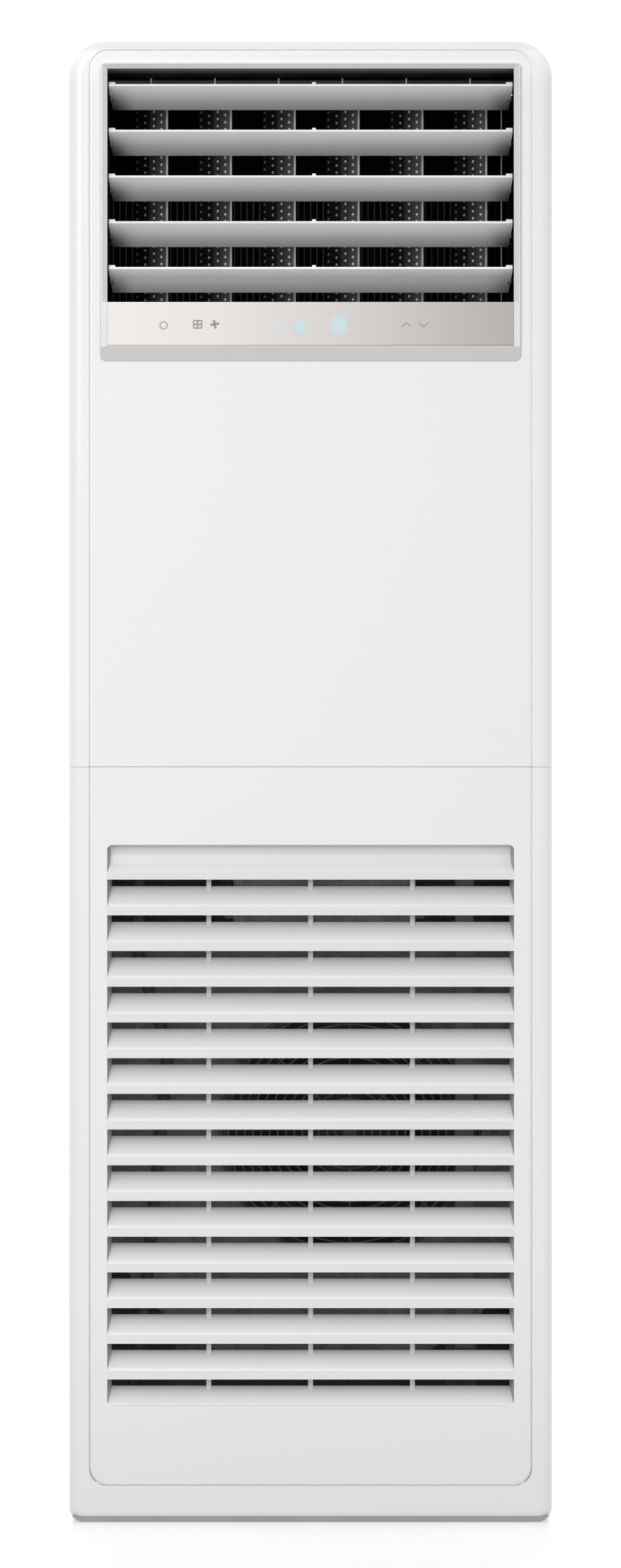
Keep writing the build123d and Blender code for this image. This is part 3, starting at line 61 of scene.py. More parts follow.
def _noise(nt, scale, detail=3.0, rough=0.55, coord=None, stretch=None):
    n = nt.nodes.new("ShaderNodeTexNoise")
    n.inputs["Scale"].default_value = scale
    n.inputs["Detail"].default_value = detail
    n.inputs["Roughness"].default_value = rough
    src = coord
    if stretch is not None:
        mp = nt.nodes.new("ShaderNodeMapping")
        mp.inputs["Scale"].default_value = stretch
        nt.links.new(coord, mp.inputs["Vector"])
        src = mp.outputs["Vector"]
    nt.links.new(src, n.inputs["Vector"])
    return n


def _coord(nt):
    return nt.nodes.new("ShaderNodeTexCoord").outputs["Object"]


def surface(name, colour, dark=None, rough=(0.35, 0.45), metal=0.0, big=6.0, fine=900.0, bump=0.06,
            depth=0.0002, coat=0.0, coat_rough=0.15, stretch=None, spec=None, marks=0.0, mark_col=None):
    """A procedural finish: slow colour drift, varied roughness, fine surface relief and faint marks."""
    m, nt, b = _new(name)
    c = _coord(nt)
    dark = dark or tuple(v * 0.965 for v in colour)
    n1 = _noise(nt, big, 4.0, 0.6, c)
    ramp = nt.nodes.new("ShaderNodeValToRGB")
    ramp.color_ramp.elements[0].position = 0.32
    ramp.color_ramp.elements[0].color = (*dark, 1)
    ramp.color_ramp.elements[1].position = 0.68
    ramp.color_ramp.elements[1].color = (*colour, 1)
    nt.links.new(n1.outputs["Fac"], ramp.inputs["Fac"])
    col = ramp.outputs["Color"]
    if marks > 0:
        n4 = _noise(nt, 38.0, 8.0, 0.72, c, (1.0, 1.0, 0.35))
        r4 = nt.nodes.new("ShaderNodeValToRGB")
        r4.color_ramp.elements[0].position = 0.60
        r4.color_ramp.elements[0].color = (0, 0, 0, 1)
        r4.color_ramp.elements[1].position = 0.78
        r4.color_ramp.elements[1].color = (marks, marks, marks, 1)
        nt.links.new(n4.outputs["Fac"], r4.inputs["Fac"])
        mx = nt.nodes.new("ShaderNodeMix")
        mx.data_type = "RGBA"
        nt.links.new(r4.outputs["Color"], mx.inputs["Factor"])
        nt.links.new(col, mx.inputs["A"])
        mx.inputs["B"].default_value = (*(mark_col or tuple(v * 0.6 for v in colour)), 1)
        col = mx.outputs["Result"]
    nt.links.new(col, b.inputs["Base Color"])
    n2 = _noise(nt, 55.0, 5.0, 0.6, c, stretch)
    mr = nt.nodes.new("ShaderNodeMapRange")
    mr.inputs["From Min"].default_value = 0.3
    mr.inputs["From Max"].default_value = 0.7
    mr.inputs["To Min"].default_value = rough[0]
    mr.inputs["To Max"].default_value = rough[1]
    nt.links.new(n2.outputs["Fac"], mr.inputs["Value"])
    nt.links.new(mr.outputs["Result"], b.inputs["Roughness"])
    n3 = _noise(nt, fine, 2.0, 0.5, c, stretch)
    bp = nt.nodes.new("ShaderNodeBump")
    bp.inputs["Strength"].default_value = bump
    bp.inputs["Distance"].default_value = depth
    nt.links.new(n3.outputs["Fac"], bp.inputs["Height"])
    nt.links.new(bp.outputs["Normal"], b.inputs["Normal"])
    b.inputs["Metallic"].default_value = metal
    if coat:
        b.inputs["Coat Weight"].default_value = coat
        b.inputs["Coat Roughness"].default_value = coat_rough
    if spec is not None:
        b.inputs["Specular IOR Level"].default_value = spec
    return m


def spangle(name, colour, dark, rough=(0.42, 0.6), scale=95.0, metal=0.55):
    """Galvanised sheet: flat crystals of slightly different grey, faint rolling lines."""
    m, nt, b = _new(name)
    c = _coord(nt)
    v = nt.nodes.new("ShaderNodeTexVoronoi")
    v.inputs["Scale"].default_value = scale
    nt.links.new(c, v.inputs["Vector"])
    bw = nt.nodes.new("ShaderNodeSeparateColor")
    nt.links.new(v.outputs["Color"], bw.inputs["Color"])
    ramp = nt.nodes.new("ShaderNodeValToRGB")
    ramp.color_ramp.elements[0].color = (*dark, 1)
    ramp.color_ramp.elements[1].color = (*colour, 1)
    nt.links.new(bw.outputs["Red"], ramp.inputs["Fac"])
    n = _noise(nt, 4.0, 5.0, 0.6, c)
    mx = nt.nodes.new("ShaderNodeMix")
    mx.data_type = "RGBA"
    mx.blend_type = "MULTIPLY"
    r2 = nt.nodes.new("ShaderNodeValToRGB")
    r2.color_ramp.elements[0].position = 0.3
    r2.color_ramp.elements[0].color = (0.78, 0.78, 0.78, 1)
    r2.color_ramp.elements[1].position = 0.7
    r2.color_ramp.elements[1].color = (1, 1, 1, 1)
    nt.links.new(n.outputs["Fac"], r2.inputs["Fac"])
    mx.inputs["Factor"].default_value = 1.0
    nt.links.new(ramp.outputs["Color"], mx.inputs["A"])
    nt.links.new(r2.outputs["Color"], mx.inputs["B"])
    nt.links.new(mx.outputs["Result"], b.inputs["Base Color"])
    mr = nt.nodes.new("ShaderNodeMapRange")
    mr.inputs["To Min"].default_value = rough[0]
    mr.inputs["To Max"].default_value = rough[1]
    nt.links.new(bw.outputs["Green"], mr.inputs["Value"])
    nt.links.new(mr.outputs["Result"], b.inputs["Roughness"])
    n3 = _noise(nt, 700.0, 2.0, 0.5, c, (1.0, 1.0, 0.08))
    bp = nt.nodes.new("ShaderNodeBump")
    bp.inputs["Strength"].default_value = 0.12
    bp.inputs["Distance"].default_value = 0.0002
    nt.links.new(n3.outputs["Fac"], bp.inputs["Height"])
    nt.links.new(bp.outputs["Normal"], b.inputs["Normal"])
    b.inputs["Metallic"].default_value = metal
    return m


def along_x(name, stops, x0, x1, rough=(0.27, 0.3), bump=0.02, coat=0.25, metal=0.12):
    """A finish whose colour runs along the object's own X, with a fine pearl grain."""
    m, nt, b = _new(name)
    c = _coord(nt)
    sx = nt.nodes.new("ShaderNodeSeparateXYZ")
    nt.links.new(c, sx.inputs["Vector"])
    mr = nt.nodes.new("ShaderNodeMapRange")
    mr.inputs["From Min"].default_value = x0
    mr.inputs["From Max"].default_value = x1
    nt.links.new(sx.outputs["X"], mr.inputs["Value"])
    ramp = nt.nodes.new("ShaderNodeValToRGB")
    el = ramp.color_ramp.elements
    el[0].position, el[0].color = stops[0][0], (*stops[0][1], 1)
    el[1].position, el[1].color = stops[-1][0], (*stops[-1][1], 1)
    for p, col in stops[1:-1]:
        e = el.new(p)
        e.color = (*col, 1)
    nt.links.new(mr.outputs["Result"], ramp.inputs["Fac"])
    n = _noise(nt, 1400.0, 2.0, 0.5, c)
    r2 = nt.nodes.new("ShaderNodeValToRGB")
    r2.color_ramp.elements[0].color = (0.955, 0.955, 0.955, 1)
    r2.color_ramp.elements[1].color = (1, 1, 1, 1)
    nt.links.new(n.outputs["Fac"], r2.inputs["Fac"])
    mx = nt.nodes.new("ShaderNodeMix")
    mx.data_type = "RGBA"
    mx.blend_type = "MULTIPLY"
    mx.inputs["Factor"].default_value = 1.0
    nt.links.new(ramp.outputs["Color"], mx.inputs["A"])
    nt.links.new(r2.outputs["Color"], mx.inputs["B"])
    nt.links.new(mx.outputs["Result"], b.inputs["Base Color"])
    n2 = _noise(nt, 45.0, 4.0, 0.6, c)
    m2 = nt.nodes.new("ShaderNodeMapRange")
    m2.inputs["To Min"].default_value = rough[0]
    m2.inputs["To Max"].default_value = rough[1]
    nt.links.new(n2.outputs["Fac"], m2.inputs["Value"])
    nt.links.new(m2.outputs["Result"], b.inputs["Roughness"])
    bp = nt.nodes.new("ShaderNodeBump")
    bp.inputs["Strength"].default_value = bump
    bp.inputs["Distance"].default_value = 0.0001
    nt.links.new(n.outputs["Fac"], bp.inputs["Height"])
    nt.links.new(bp.outputs["Normal"], b.inputs["Normal"])
    b.inputs["Metallic"].default_value = metal
    b.inputs["Coat Weight"].default_value = coat
    b.inputs["Coat Roughness"].default_value = 0.2
    return m


def painted_shading(mat, axis, stops):
    """Multiplies a finish's colour along one object axis: painted shade in the deep parts, and painted light where a
    stop rises above one.
    """
    nt = mat.node_tree
    b = next(n for n in nt.nodes if n.type == "BSDF_PRINCIPLED")
    src = b.inputs["Base Color"].links[0].from_socket
    sx = nt.nodes.new("ShaderNodeSeparateXYZ")
    nt.links.new(_coord(nt), sx.inputs["Vector"])
    mr = nt.nodes.new("ShaderNodeMapRange")
    lo, hi = stops[0][0], stops[-1][0]
    mr.inputs["From Min"].default_value = lo
    mr.inputs["From Max"].default_value = hi
    nt.links.new(sx.outputs[axis], mr.inputs["Value"])
    ramp = nt.nodes.new("ShaderNodeValToRGB")
    el = ramp.color_ramp.elements
    pos = [(s[0] - lo) / (hi - lo) for s in stops]
    el[0].position, el[0].color = 0.0, (stops[0][1],) * 3 + (1,)
    el[1].position, el[1].color = 1.0, (stops[-1][1],) * 3 + (1,)
    for q, s in zip(pos[1:-1], stops[1:-1]):
        e = el.new(q)
        e.color = (s[1],) * 3 + (1,)
    nt.links.new(mr.outputs["Result"], ramp.inputs["Fac"])
    mx = nt.nodes.new("ShaderNodeMix")
    mx.data_type = "RGBA"
    mx.blend_type = "MULTIPLY"
    mx.inputs["Factor"].default_value = 1.0
    nt.links.new(src, mx.inputs["A"])
    nt.links.new(ramp.outputs["Color"], mx.inputs["B"])
    nt.links.new(mx.outputs["Result"], b.inputs["Base Color"])
    return mat


def corner_shade(mat, x_in, x_out, y_front, y_rear, low):
    """Darkens a finish towards both ends of a long blade, more so at its rear edge."""
    nt = mat.node_tree
    b = next(n for n in nt.nodes if n.type == "BSDF_PRINCIPLED")
    src = b.inputs["Base Color"].links[0].from_socket
    sx = nt.nodes.new("ShaderNodeSeparateXYZ")
    nt.links.new(_coord(nt), sx.inputs["Vector"])
    ab = nt.nodes.new("ShaderNodeMath")
    ab.operation = "ABSOLUTE"
    nt.links.new(sx.outputs["X"], ab.inputs[0])
    mx = nt.nodes.new("ShaderNodeMapRange")
    mx.interpolation_type = "SMOOTHSTEP"
    mx.inputs["From Min"].default_value, mx.inputs["From Max"].default_value = x_in, x_out
    nt.links.new(ab.outputs[0], mx.inputs["Value"])
    my = nt.nodes.new("ShaderNodeMapRange")
    my.inputs["From Min"].default_value, my.inputs["From Max"].default_value = y_front, y_rear
    nt.links.new(sx.outputs["Y"], my.inputs["Value"])
    pr = nt.nodes.new("ShaderNodeMath")
    pr.operation = "MULTIPLY"
    nt.links.new(mx.outputs["Result"], pr.inputs[0])
    nt.links.new(my.outputs["Result"], pr.inputs[1])
    ramp = nt.nodes.new("ShaderNodeValToRGB")
    ramp.color_ramp.elements[0].color = (1, 1, 1, 1)
    ramp.color_ramp.elements[1].color = (low, low, low, 1)
    nt.links.new(pr.outputs[0], ramp.inputs["Fac"])
    m2 = nt.nodes.new("ShaderNodeMix")
    m2.data_type = "RGBA"
    m2.blend_type = "MULTIPLY"
    m2.inputs["Factor"].default_value = 1.0
    nt.links.new(src, m2.inputs["A"])
    nt.links.new(ramp.outputs["Color"], m2.inputs["B"])
    nt.links.new(m2.outputs["Result"], b.inputs["Base Color"])


MAT = {
    "shell_white": surface("shell_white", (0.888, 0.888, 0.888), (0.880, 0.881, 0.883), rough=(0.30, 0.33), big=2.0, fine=700.0,
                           bump=0.025, coat=0.2, coat_rough=0.2),
    "cabinet_white": surface("cabinet_white", (0.87, 0.872, 0.872), (0.845, 0.848, 0.85), rough=(0.4, 0.52), big=2.5,
                             fine=1500.0, bump=0.16, depth=0.0003),
    "bezel_silver": surface("bezel_silver", (0.82, 0.805, 0.795), (0.795, 0.78, 0.77), rough=(0.32, 0.37), metal=0.08, big=8.0,
                            fine=2200.0, bump=0.07, coat=0.35),
    "fascia_silver": along_x("fascia_silver", [(0.0, (0.875, 0.85, 0.827)), (0.25, (0.84, 0.808, 0.783)), (0.6, (0.712, 0.678, 0.654)),
                                               (1.0, (0.498, 0.474, 0.455))], -0.25, 0.25),
    "plinth_grey": surface("plinth_grey", (0.325, 0.325, 0.327), (0.295, 0.295, 0.297), rough=(0.45, 0.6), big=9.0, fine=1300.0,
                           bump=0.2, marks=0.3),
    "galvanised": spangle("galvanised", (0.47, 0.475, 0.485), (0.36, 0.365, 0.375)),
    "duct_black": surface("duct_black", (0.007, 0.0065, 0.0065), (0.004, 0.004, 0.004), rough=(0.6, 0.75), spec=0.2, big=12.0, fine=1200.0,
                          bump=0.25),
    # painted shade grey for the louvre pivot bosses
    "boss_shade_grey": surface("boss_shade_grey", (0.17, 0.17, 0.172), (0.14, 0.14, 0.142), rough=(0.4, 0.5), big=40.0, fine=1300.0, bump=0.1),
    "louvre_low_lit": surface("louvre_low_lit", (0.99, 0.99, 0.99), (0.97, 0.97, 0.972), rough=(0.3, 0.4), big=7.0, fine=1600.0,
                          bump=0.07, coat=0.15),
    "louvre_silver": surface("louvre_silver", (0.93, 0.93, 0.932), (0.91, 0.91, 0.912), rough=(0.3, 0.4), big=7.0, fine=1600.0,
                             bump=0.07, coat=0.15),
    "vane_black": surface("vane_black", (0.115, 0.115, 0.117), (0.09, 0.09, 0.092), rough=(0.5, 0.62), spec=0.2, big=14.0, fine=1000.0,
                          bump=0.15),
    "wire_grey": surface("wire_grey", (0.27, 0.27, 0.275), (0.21, 0.21, 0.215), rough=(0.35, 0.5), big=30.0, fine=1500.0,
                         bump=0.12, coat=0.3),
    "wire_black": surface("wire_black", (0.03, 0.03, 0.03), (0.02, 0.02, 0.02), rough=(0.4, 0.5), big=30.0, fine=1500.0,
                          bump=0.1),
    "board_green": surface("board_green", (0.035, 0.17, 0.08), (0.02, 0.11, 0.055), rough=(0.25, 0.5), big=160.0, fine=900.0,
                           bump=0.3, marks=0.5, mark_col=(0.55, 0.5, 0.3)),
    "part_grey": surface("part_grey", (0.33, 0.335, 0.34), (0.28, 0.285, 0.29), rough=(0.45, 0.6), big=12.0, fine=1300.0, bump=0.2),
    "link_black": surface("link_black", (0.008, 0.008, 0.008), (0.005, 0.005, 0.005), rough=(0.6, 0.75), spec=0.15, big=25.0,
                          fine=1300.0, bump=0.15),
    "liner_black": surface("liner_black", (0.010, 0.010, 0.0105), (0.006, 0.006, 0.006), rough=(0.8, 0.95), spec=0.1, big=40.0,
                           fine=420.0, bump=0.6, depth=0.0006),
    "filter_black": surface("filter_black", (0.045, 0.045, 0.05), (0.032, 0.032, 0.036), rough=(0.45, 0.6), big=16.0,
                            fine=1100.0, bump=0.25),
    "net_grey": surface("net_grey", (0.06, 0.062, 0.066), (0.04, 0.042, 0.045), rough=(0.5, 0.7), big=60.0, fine=2500.0, bump=0.3),
    "wheel_grey": surface("wheel_grey", (0.12, 0.12, 0.125), (0.085, 0.085, 0.09), rough=(0.4, 0.55), metal=0.5, big=20.0,
                          fine=800.0, bump=0.15, marks=0.3, mark_col=(0.2, 0.2, 0.2)),
    "motor_grey": surface("motor_grey", (0.22, 0.225, 0.235), (0.17, 0.175, 0.185), rough=(0.35, 0.5), metal=0.2, big=14.0,
                          fine=900.0, bump=0.2, marks=0.25),
    "aluminium_fin": surface("aluminium_fin", (0.62, 0.63, 0.64), (0.52, 0.53, 0.54), rough=(0.3, 0.45), metal=0.9, big=25.0,
                             fine=900.0, bump=0.2, stretch=(1, 1, 0.2)),
    "copper": surface("copper", (0.68, 0.33, 0.19), (0.48, 0.22, 0.13), rough=(0.22, 0.42), metal=1.0, big=18.0, fine=700.0,
                      bump=0.1, marks=0.5, mark_col=(0.25, 0.13, 0.09)),
    "brass_nut": surface("brass_nut", (0.70, 0.52, 0.24), (0.55, 0.40, 0.18), rough=(0.2, 0.35), metal=1.0, big=40.0, fine=900.0,
                         bump=0.12),
    "hose_grey": surface("hose_grey", (0.16, 0.16, 0.165), (0.12, 0.12, 0.125), rough=(0.5, 0.65), big=20.0, fine=900.0, bump=0.2),
    "rubber_black": surface("rubber_black", (0.028, 0.028, 0.028), (0.018, 0.018, 0.018), rough=(0.6, 0.75), big=25.0,
                            fine=1100.0, bump=0.3),
    "screw_zinc": surface("screw_zinc", (0.62, 0.62, 0.60), (0.5, 0.5, 0.47), rough=(0.22, 0.4), metal=1.0, big=60.0, fine=1500.0,
                          bump=0.15),
}
# pale grey on the black vane's dimples: painted glints
MAT["vane_dimple"] = surface("vane_dimple", (0.66, 0.66, 0.66), (0.58, 0.58, 0.585), rough=(0.35, 0.5), big=60.0, fine=1500.0,
                             bump=0.08)
# pale grey on the black vane's front bead and the guide blade's front rod: a painted highlight
MAT["vane_edge"] = surface("vane_edge", (0.48, 0.48, 0.48), (0.42, 0.42, 0.425), rough=(0.25, 0.35), big=20.0, fine=1200.0, bump=0.1)
for k, hi, lo in (("ink_faint", (0.50, 0.487, 0.478), (0.47, 0.457, 0.448)), ("symbol_ink", (0.34, 0.328, 0.32), (0.31, 0.298, 0.29)),
                  ("ink_right", (0.35, 0.335, 0.325), (0.33, 0.315, 0.305)), ("display_glow", (0.62, 0.80, 0.83), (0.59, 0.77, 0.81)),
                  ("display_haze", (0.68, 0.735, 0.74), (0.66, 0.715, 0.72)), ("display_faint", (0.72, 0.75, 0.745), (0.71, 0.74, 0.735))):
    MAT[k] = surface(k, hi, lo, rough=(0.27, 0.3), big=300.0, fine=3000.0, bump=0.02, coat=0.25, coat_rough=0.2, metal=0.1)

# painted shading up the white shells: darker towards the floor, a painted highlight band just under the top, darker
# again on the top rounding
WHITE_SHADING_Z = [(0.04, 0.81), (0.30, 0.875), (0.72, 0.93), (1.00, 0.97), (1.30, 0.995), (1.79, 1.0), (1.815, 1.06), (1.8350, 1.045),
           (1.8364, 0.90), (1.847, 0.86)]
painted_shading(MAT["shell_white"], "Z", WHITE_SHADING_Z)
# the walls of the narrow seams: a faint painted glow so the gaps read light grey, with the same painted shading as the
# shells
MAT["seam_glow_white"] = painted_shading(surface("seam_glow_white", (0.888, 0.888, 0.888), (0.880, 0.881, 0.883), rough=(0.30, 0.33), big=2.0, fine=700.0,
                                 bump=0.025, coat=0.2, coat_rough=0.2), "Z", WHITE_SHADING_Z)
sb = next(n for n in MAT["seam_glow_white"].node_tree.nodes if n.type == "BSDF_PRINCIPLED")
sb.inputs["Emission Color"].default_value = (1, 1, 1, 1)
sb.inputs["Emission Strength"].default_value = 0.14
# the front faces of the slat lips: a darker painted-shade copy of the white, a little darker still towards the bottom
MAT["lip_shaded_white"] = painted_shading(surface("lip_shaded_white", (0.755, 0.755, 0.755), (0.748, 0.749, 0.75), rough=(0.30, 0.33), big=2.0, fine=700.0,
                                bump=0.025, coat=0.2, coat_rough=0.2), "Z", [(0.14, 0.95), (0.60, 1.0), (0.82, 1.0)])
# the vane top pins: pale with a faint painted glow, so they read lit in the shaded top of the duct
MAT["pin_painted_glow"] = surface("pin_painted_glow", (0.90, 0.90, 0.90), (0.84, 0.84, 0.842), rough=(0.3, 0.4), big=60.0, fine=1500.0, bump=0.05)
pb = next(n for n in MAT["pin_painted_glow"].node_tree.nodes if n.type == "BSDF_PRINCIPLED")
pb.inputs["Emission Color"].default_value = (1, 1, 1, 1)
pb.inputs["Emission Strength"].default_value = 0.10
# painted shade on the louvres, darker towards their rear edges
painted_shading(MAT["louvre_silver"], "Y", [(-0.178, 1.0), (-0.172, 1.0), (-0.155, 0.86), (-0.133, 0.52)])
# the lowest louvre: a brighter copy with a faint painted glow, painted shade only at its rear edge
painted_shading(MAT["louvre_low_lit"], "Y", [(-0.178, 1.0), (-0.155, 1.0), (-0.133, 0.72)])
lo = next(n for n in MAT["louvre_low_lit"].node_tree.nodes if n.type == "BSDF_PRINCIPLED")
lo.inputs["Emission Color"].default_value = (1, 1, 1, 1)
lo.inputs["Emission Strength"].default_value = 0.03
for k in ("louvre_silver", "louvre_low_lit"):
    corner_shade(MAT[k], 0.215, 0.252, -0.176, -0.140, 0.16)
# painted shade on the vanes, their pale front beads and their dimples, darker deeper into the duct
painted_shading(MAT["vane_black"], "Y", [(-0.106, 1.0), (-0.098, 0.72), (-0.090, 0.22), (-0.082, 0.09), (-0.064, 0.03)])
painted_shading(MAT["vane_edge"], "Y", [(-0.106, 1.0), (-0.098, 0.75), (-0.088, 0.45), (-0.070, 0.35)])
painted_shading(MAT["vane_dimple"], "Y", [(-0.106, 1.0), (-0.096, 1.0), (-0.086, 0.8), (-0.077, 0.34), (-0.066, 0.09)])
# the intake slats: painted shade, darker deeper into the slots, and painted shadow under the top of the recess
MAT["grille_shaded_white"] = painted_shading(painted_shading(surface("grille_shaded_white", (0.888, 0.888, 0.888), (0.880, 0.881, 0.883), rough=(0.30, 0.33), big=2.0,
                                        fine=700.0, bump=0.025, coat=0.2, coat_rough=0.2),
                                "Y", [(-0.186, 0.93), (-0.1842, 0.82), (-0.176, 0.755), (-0.169, 0.66)]),
                           "Z", [(0.820, 1.0), (0.834, 0.97), (0.840, 0.80), (0.8445, 0.50)])

# the underside of the outlet duct's top: painted light on the black duct, fading to painted shade deeper in
MAT["duct_ceiling_light_shade"] = painted_shading(surface("duct_ceiling_light_shade", (0.80, 0.745, 0.72), (0.74, 0.69, 0.667), rough=(0.5, 0.62), big=12.0,
                                   fine=1200.0, bump=0.2),
                           "Y", [(-0.183, 0.30), (-0.166, 0.36), (-0.156, 0.34), (-0.146, 0.07), (-0.080, 0.015)])
# the shelf at the top of the intake recess: painted shadow under the recess top edge
MAT["shelf_shadowed_white"] = painted_shading(surface("shelf_shadowed_white", (0.888, 0.888, 0.888), (0.880, 0.881, 0.883), rough=(0.30, 0.33), big=2.0,
                                  fine=700.0, bump=0.025, coat=0.2, coat_rough=0.2),
                          "Z", [(0.812, 0.88), (0.838, 0.91), (0.8415, 0.72), (0.8446, 0.36)])
MAT["cheek_shade"] = surface("cheek_shade", (0.34, 0.34, 0.342), (0.30, 0.30, 0.302), rough=(0.4, 0.5), big=6.0, fine=900.0,
                             bump=0.06)
# the bezel's downward-facing bottom bevel: a darker painted-shade copy of the silver
MAT["bezel_under_shaded"] = surface("bezel_under_shaded", (0.69, 0.670, 0.666), (0.67, 0.650, 0.646), rough=(0.32, 0.37), metal=0.08, big=8.0,
                             fine=2200.0, bump=0.07, coat=0.3)

SLOT = {s["node"]: s["material_slot"] for s in frame["record"]["subparts"]}


def paint(obj, *names):
    obj.data.materials.clear()
    for n in names:
        obj.data.materials.append(MAT[n])


FINISH = {"intake_grille": "grille_shaded_white", "louvre_link": "link_black"}
for n, o in NODES.items():
    paint(o, FINISH.get(n, SLOT[n]))
# dull black lining on the inside of the sheets round the air path
def line_inside(name, test):
    o = NODES[name]
    o.data.materials.append(MAT["liner_black"])
    for p in o.data.polygons:
        c, d = o.matrix_world @ p.center, o.matrix_world.to_3x3() @ p.normal
        if test(c, d):
            p.material_index = 1


def tint(name, finish, test):
    o = NODES[name]
    k = len(o.data.materials)
    o.data.materials.append(MAT[finish])
    for p in o.data.polygons:
        if test(o.matrix_world @ p.center, o.matrix_world.to_3x3() @ p.normal):
            p.material_index = k


# painted light and shade on chosen faces: the duct ceiling, the recess shelf, the slat cheeks and lips, the bezel's
# bottom bevel
tint("outlet_duct", "duct_ceiling_light_shade", lambda c, d: d.z < -0.5 and c.z > 1.80)
tint("intake_grille", "shelf_shadowed_white", lambda c, d: c.z > 0.8110)
tint("intake_grille", "cheek_shade", lambda c, d: abs(c.x) > 0.2470 and d.x * c.x < 0 and abs(d.x) > 0.3)
tint("intake_grille", "lip_shaded_white", lambda c, d: d.y < -0.9 and c.y < -0.18575 and c.z < 0.8110)
tint("outlet_bezel", "bezel_under_shaded", lambda c, d: d.y < -0.3 and c.z < 1.4672)
line_inside("rear_panel_upper", lambda c, d: d.y < -0.5 and c.y < 0.1875)
line_inside("side_panel_left", lambda c, d: d.x > 0.5 and c.x > -0.3005 and c.x > -0.2995)
line_inside("side_panel_right", lambda c, d: d.x < -0.5 and c.x < 0.2995)
line_inside("top_cover", lambda c, d: d.z < -0.5)


def outline(c, half, end, r, up):
    """Distance from a point to the rounded outline of a front panel, in metres."""
    a = max(abs(c.x) - (half - r), 0.0)
    b = max(c.z - (end - r) if up else (end + r) - c.z, 0.0)
    return abs(math.hypot(a, b) - r)


# the seam walls round the front panels take the painted glow
for name, half, end, r, up in (("upper_frame", 0.27615, 1.8362, 0.02435, True), ("upper_panel", 0.2758, 1.83585, 0.024, True),
                               ("lower_frame", 0.27615, 0.0449, 0.02235, False), ("intake_panel", 0.2758, 0.04525, 0.0245, False)):
    tint(name, "seam_glow_white", lambda c, d: abs(d.y) < 0.45 and -0.1866 < c.y < -0.150 and outline(c, half, end, r, up) < 0.0006)
LOUVRE_Z = (1.7782, 1.7211, 1.6640, 1.6069, 1.5498)
paint(NODES["louvre_5"], "louvre_low_lit")
# the end pivots and crank arms of the louvres are bare black plastic; the bosses by the pivots are painted shade grey
for n, o in NODES.items():
    if n.startswith("louvre_") and n[7:].isdigit():
        o.data.materials.append(MAT["link_black"])
        o.data.materials.append(MAT["boss_shade_grey"])
        for p in o.data.polygons:
            c = o.matrix_world @ p.center
            near = abs(c.y + 0.154) < 0.0058 and abs(c.z - LOUVRE_Z[int(n[7:]) - 1]) < 0.0058
            black = abs(c.x) > 0.2503 and c.y > -0.170 or (c.x < -0.2480 and c.y > -0.1535)
            p.material_index = 1 if black else 2 if abs(c.x) > 0.2458 and near else 0


# ---------------------------------------------------------------- mesh helpers
MM = 0.001


def add(name, verts, faces, body, mats, smooth=True, index=None, replaces=None, slot=None, angle=35):
    """One closed mesh in millimetres of the row frame, riding on a body."""
    me = bpy.data.meshes.new(name)
    me.from_pydata([(v[0] * MM, v[1] * MM, v[2] * MM) for v in verts], [], faces)
    me.validate()
    ob = bpy.data.objects.new(name, me)
    SCENE.collection.objects.link(ob)
    mats = [mats] if isinstance(mats, str) else mats
    for k in mats:
        me.materials.append(MAT[k])
    if index is not None:
        for p, i in zip(me.polygons, index):
            p.material_index = i
    bm = bmesh.new()
    bm.from_mesh(me)
    bmesh.ops.recalc_face_normals(bm, faces=bm.faces)
    if smooth:
        for f in bm.faces:
            f.smooth = True
        lim = math.radians(angle)
        for e in bm.edges:
            if len(e.link_faces) == 2 and e.calc_face_angle(0.0) > lim:
                e.smooth = False
    bm.to_mesh(me)
    bm.free()
    if replaces:
        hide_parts(*replaces)
    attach(ob, body)
    return ob


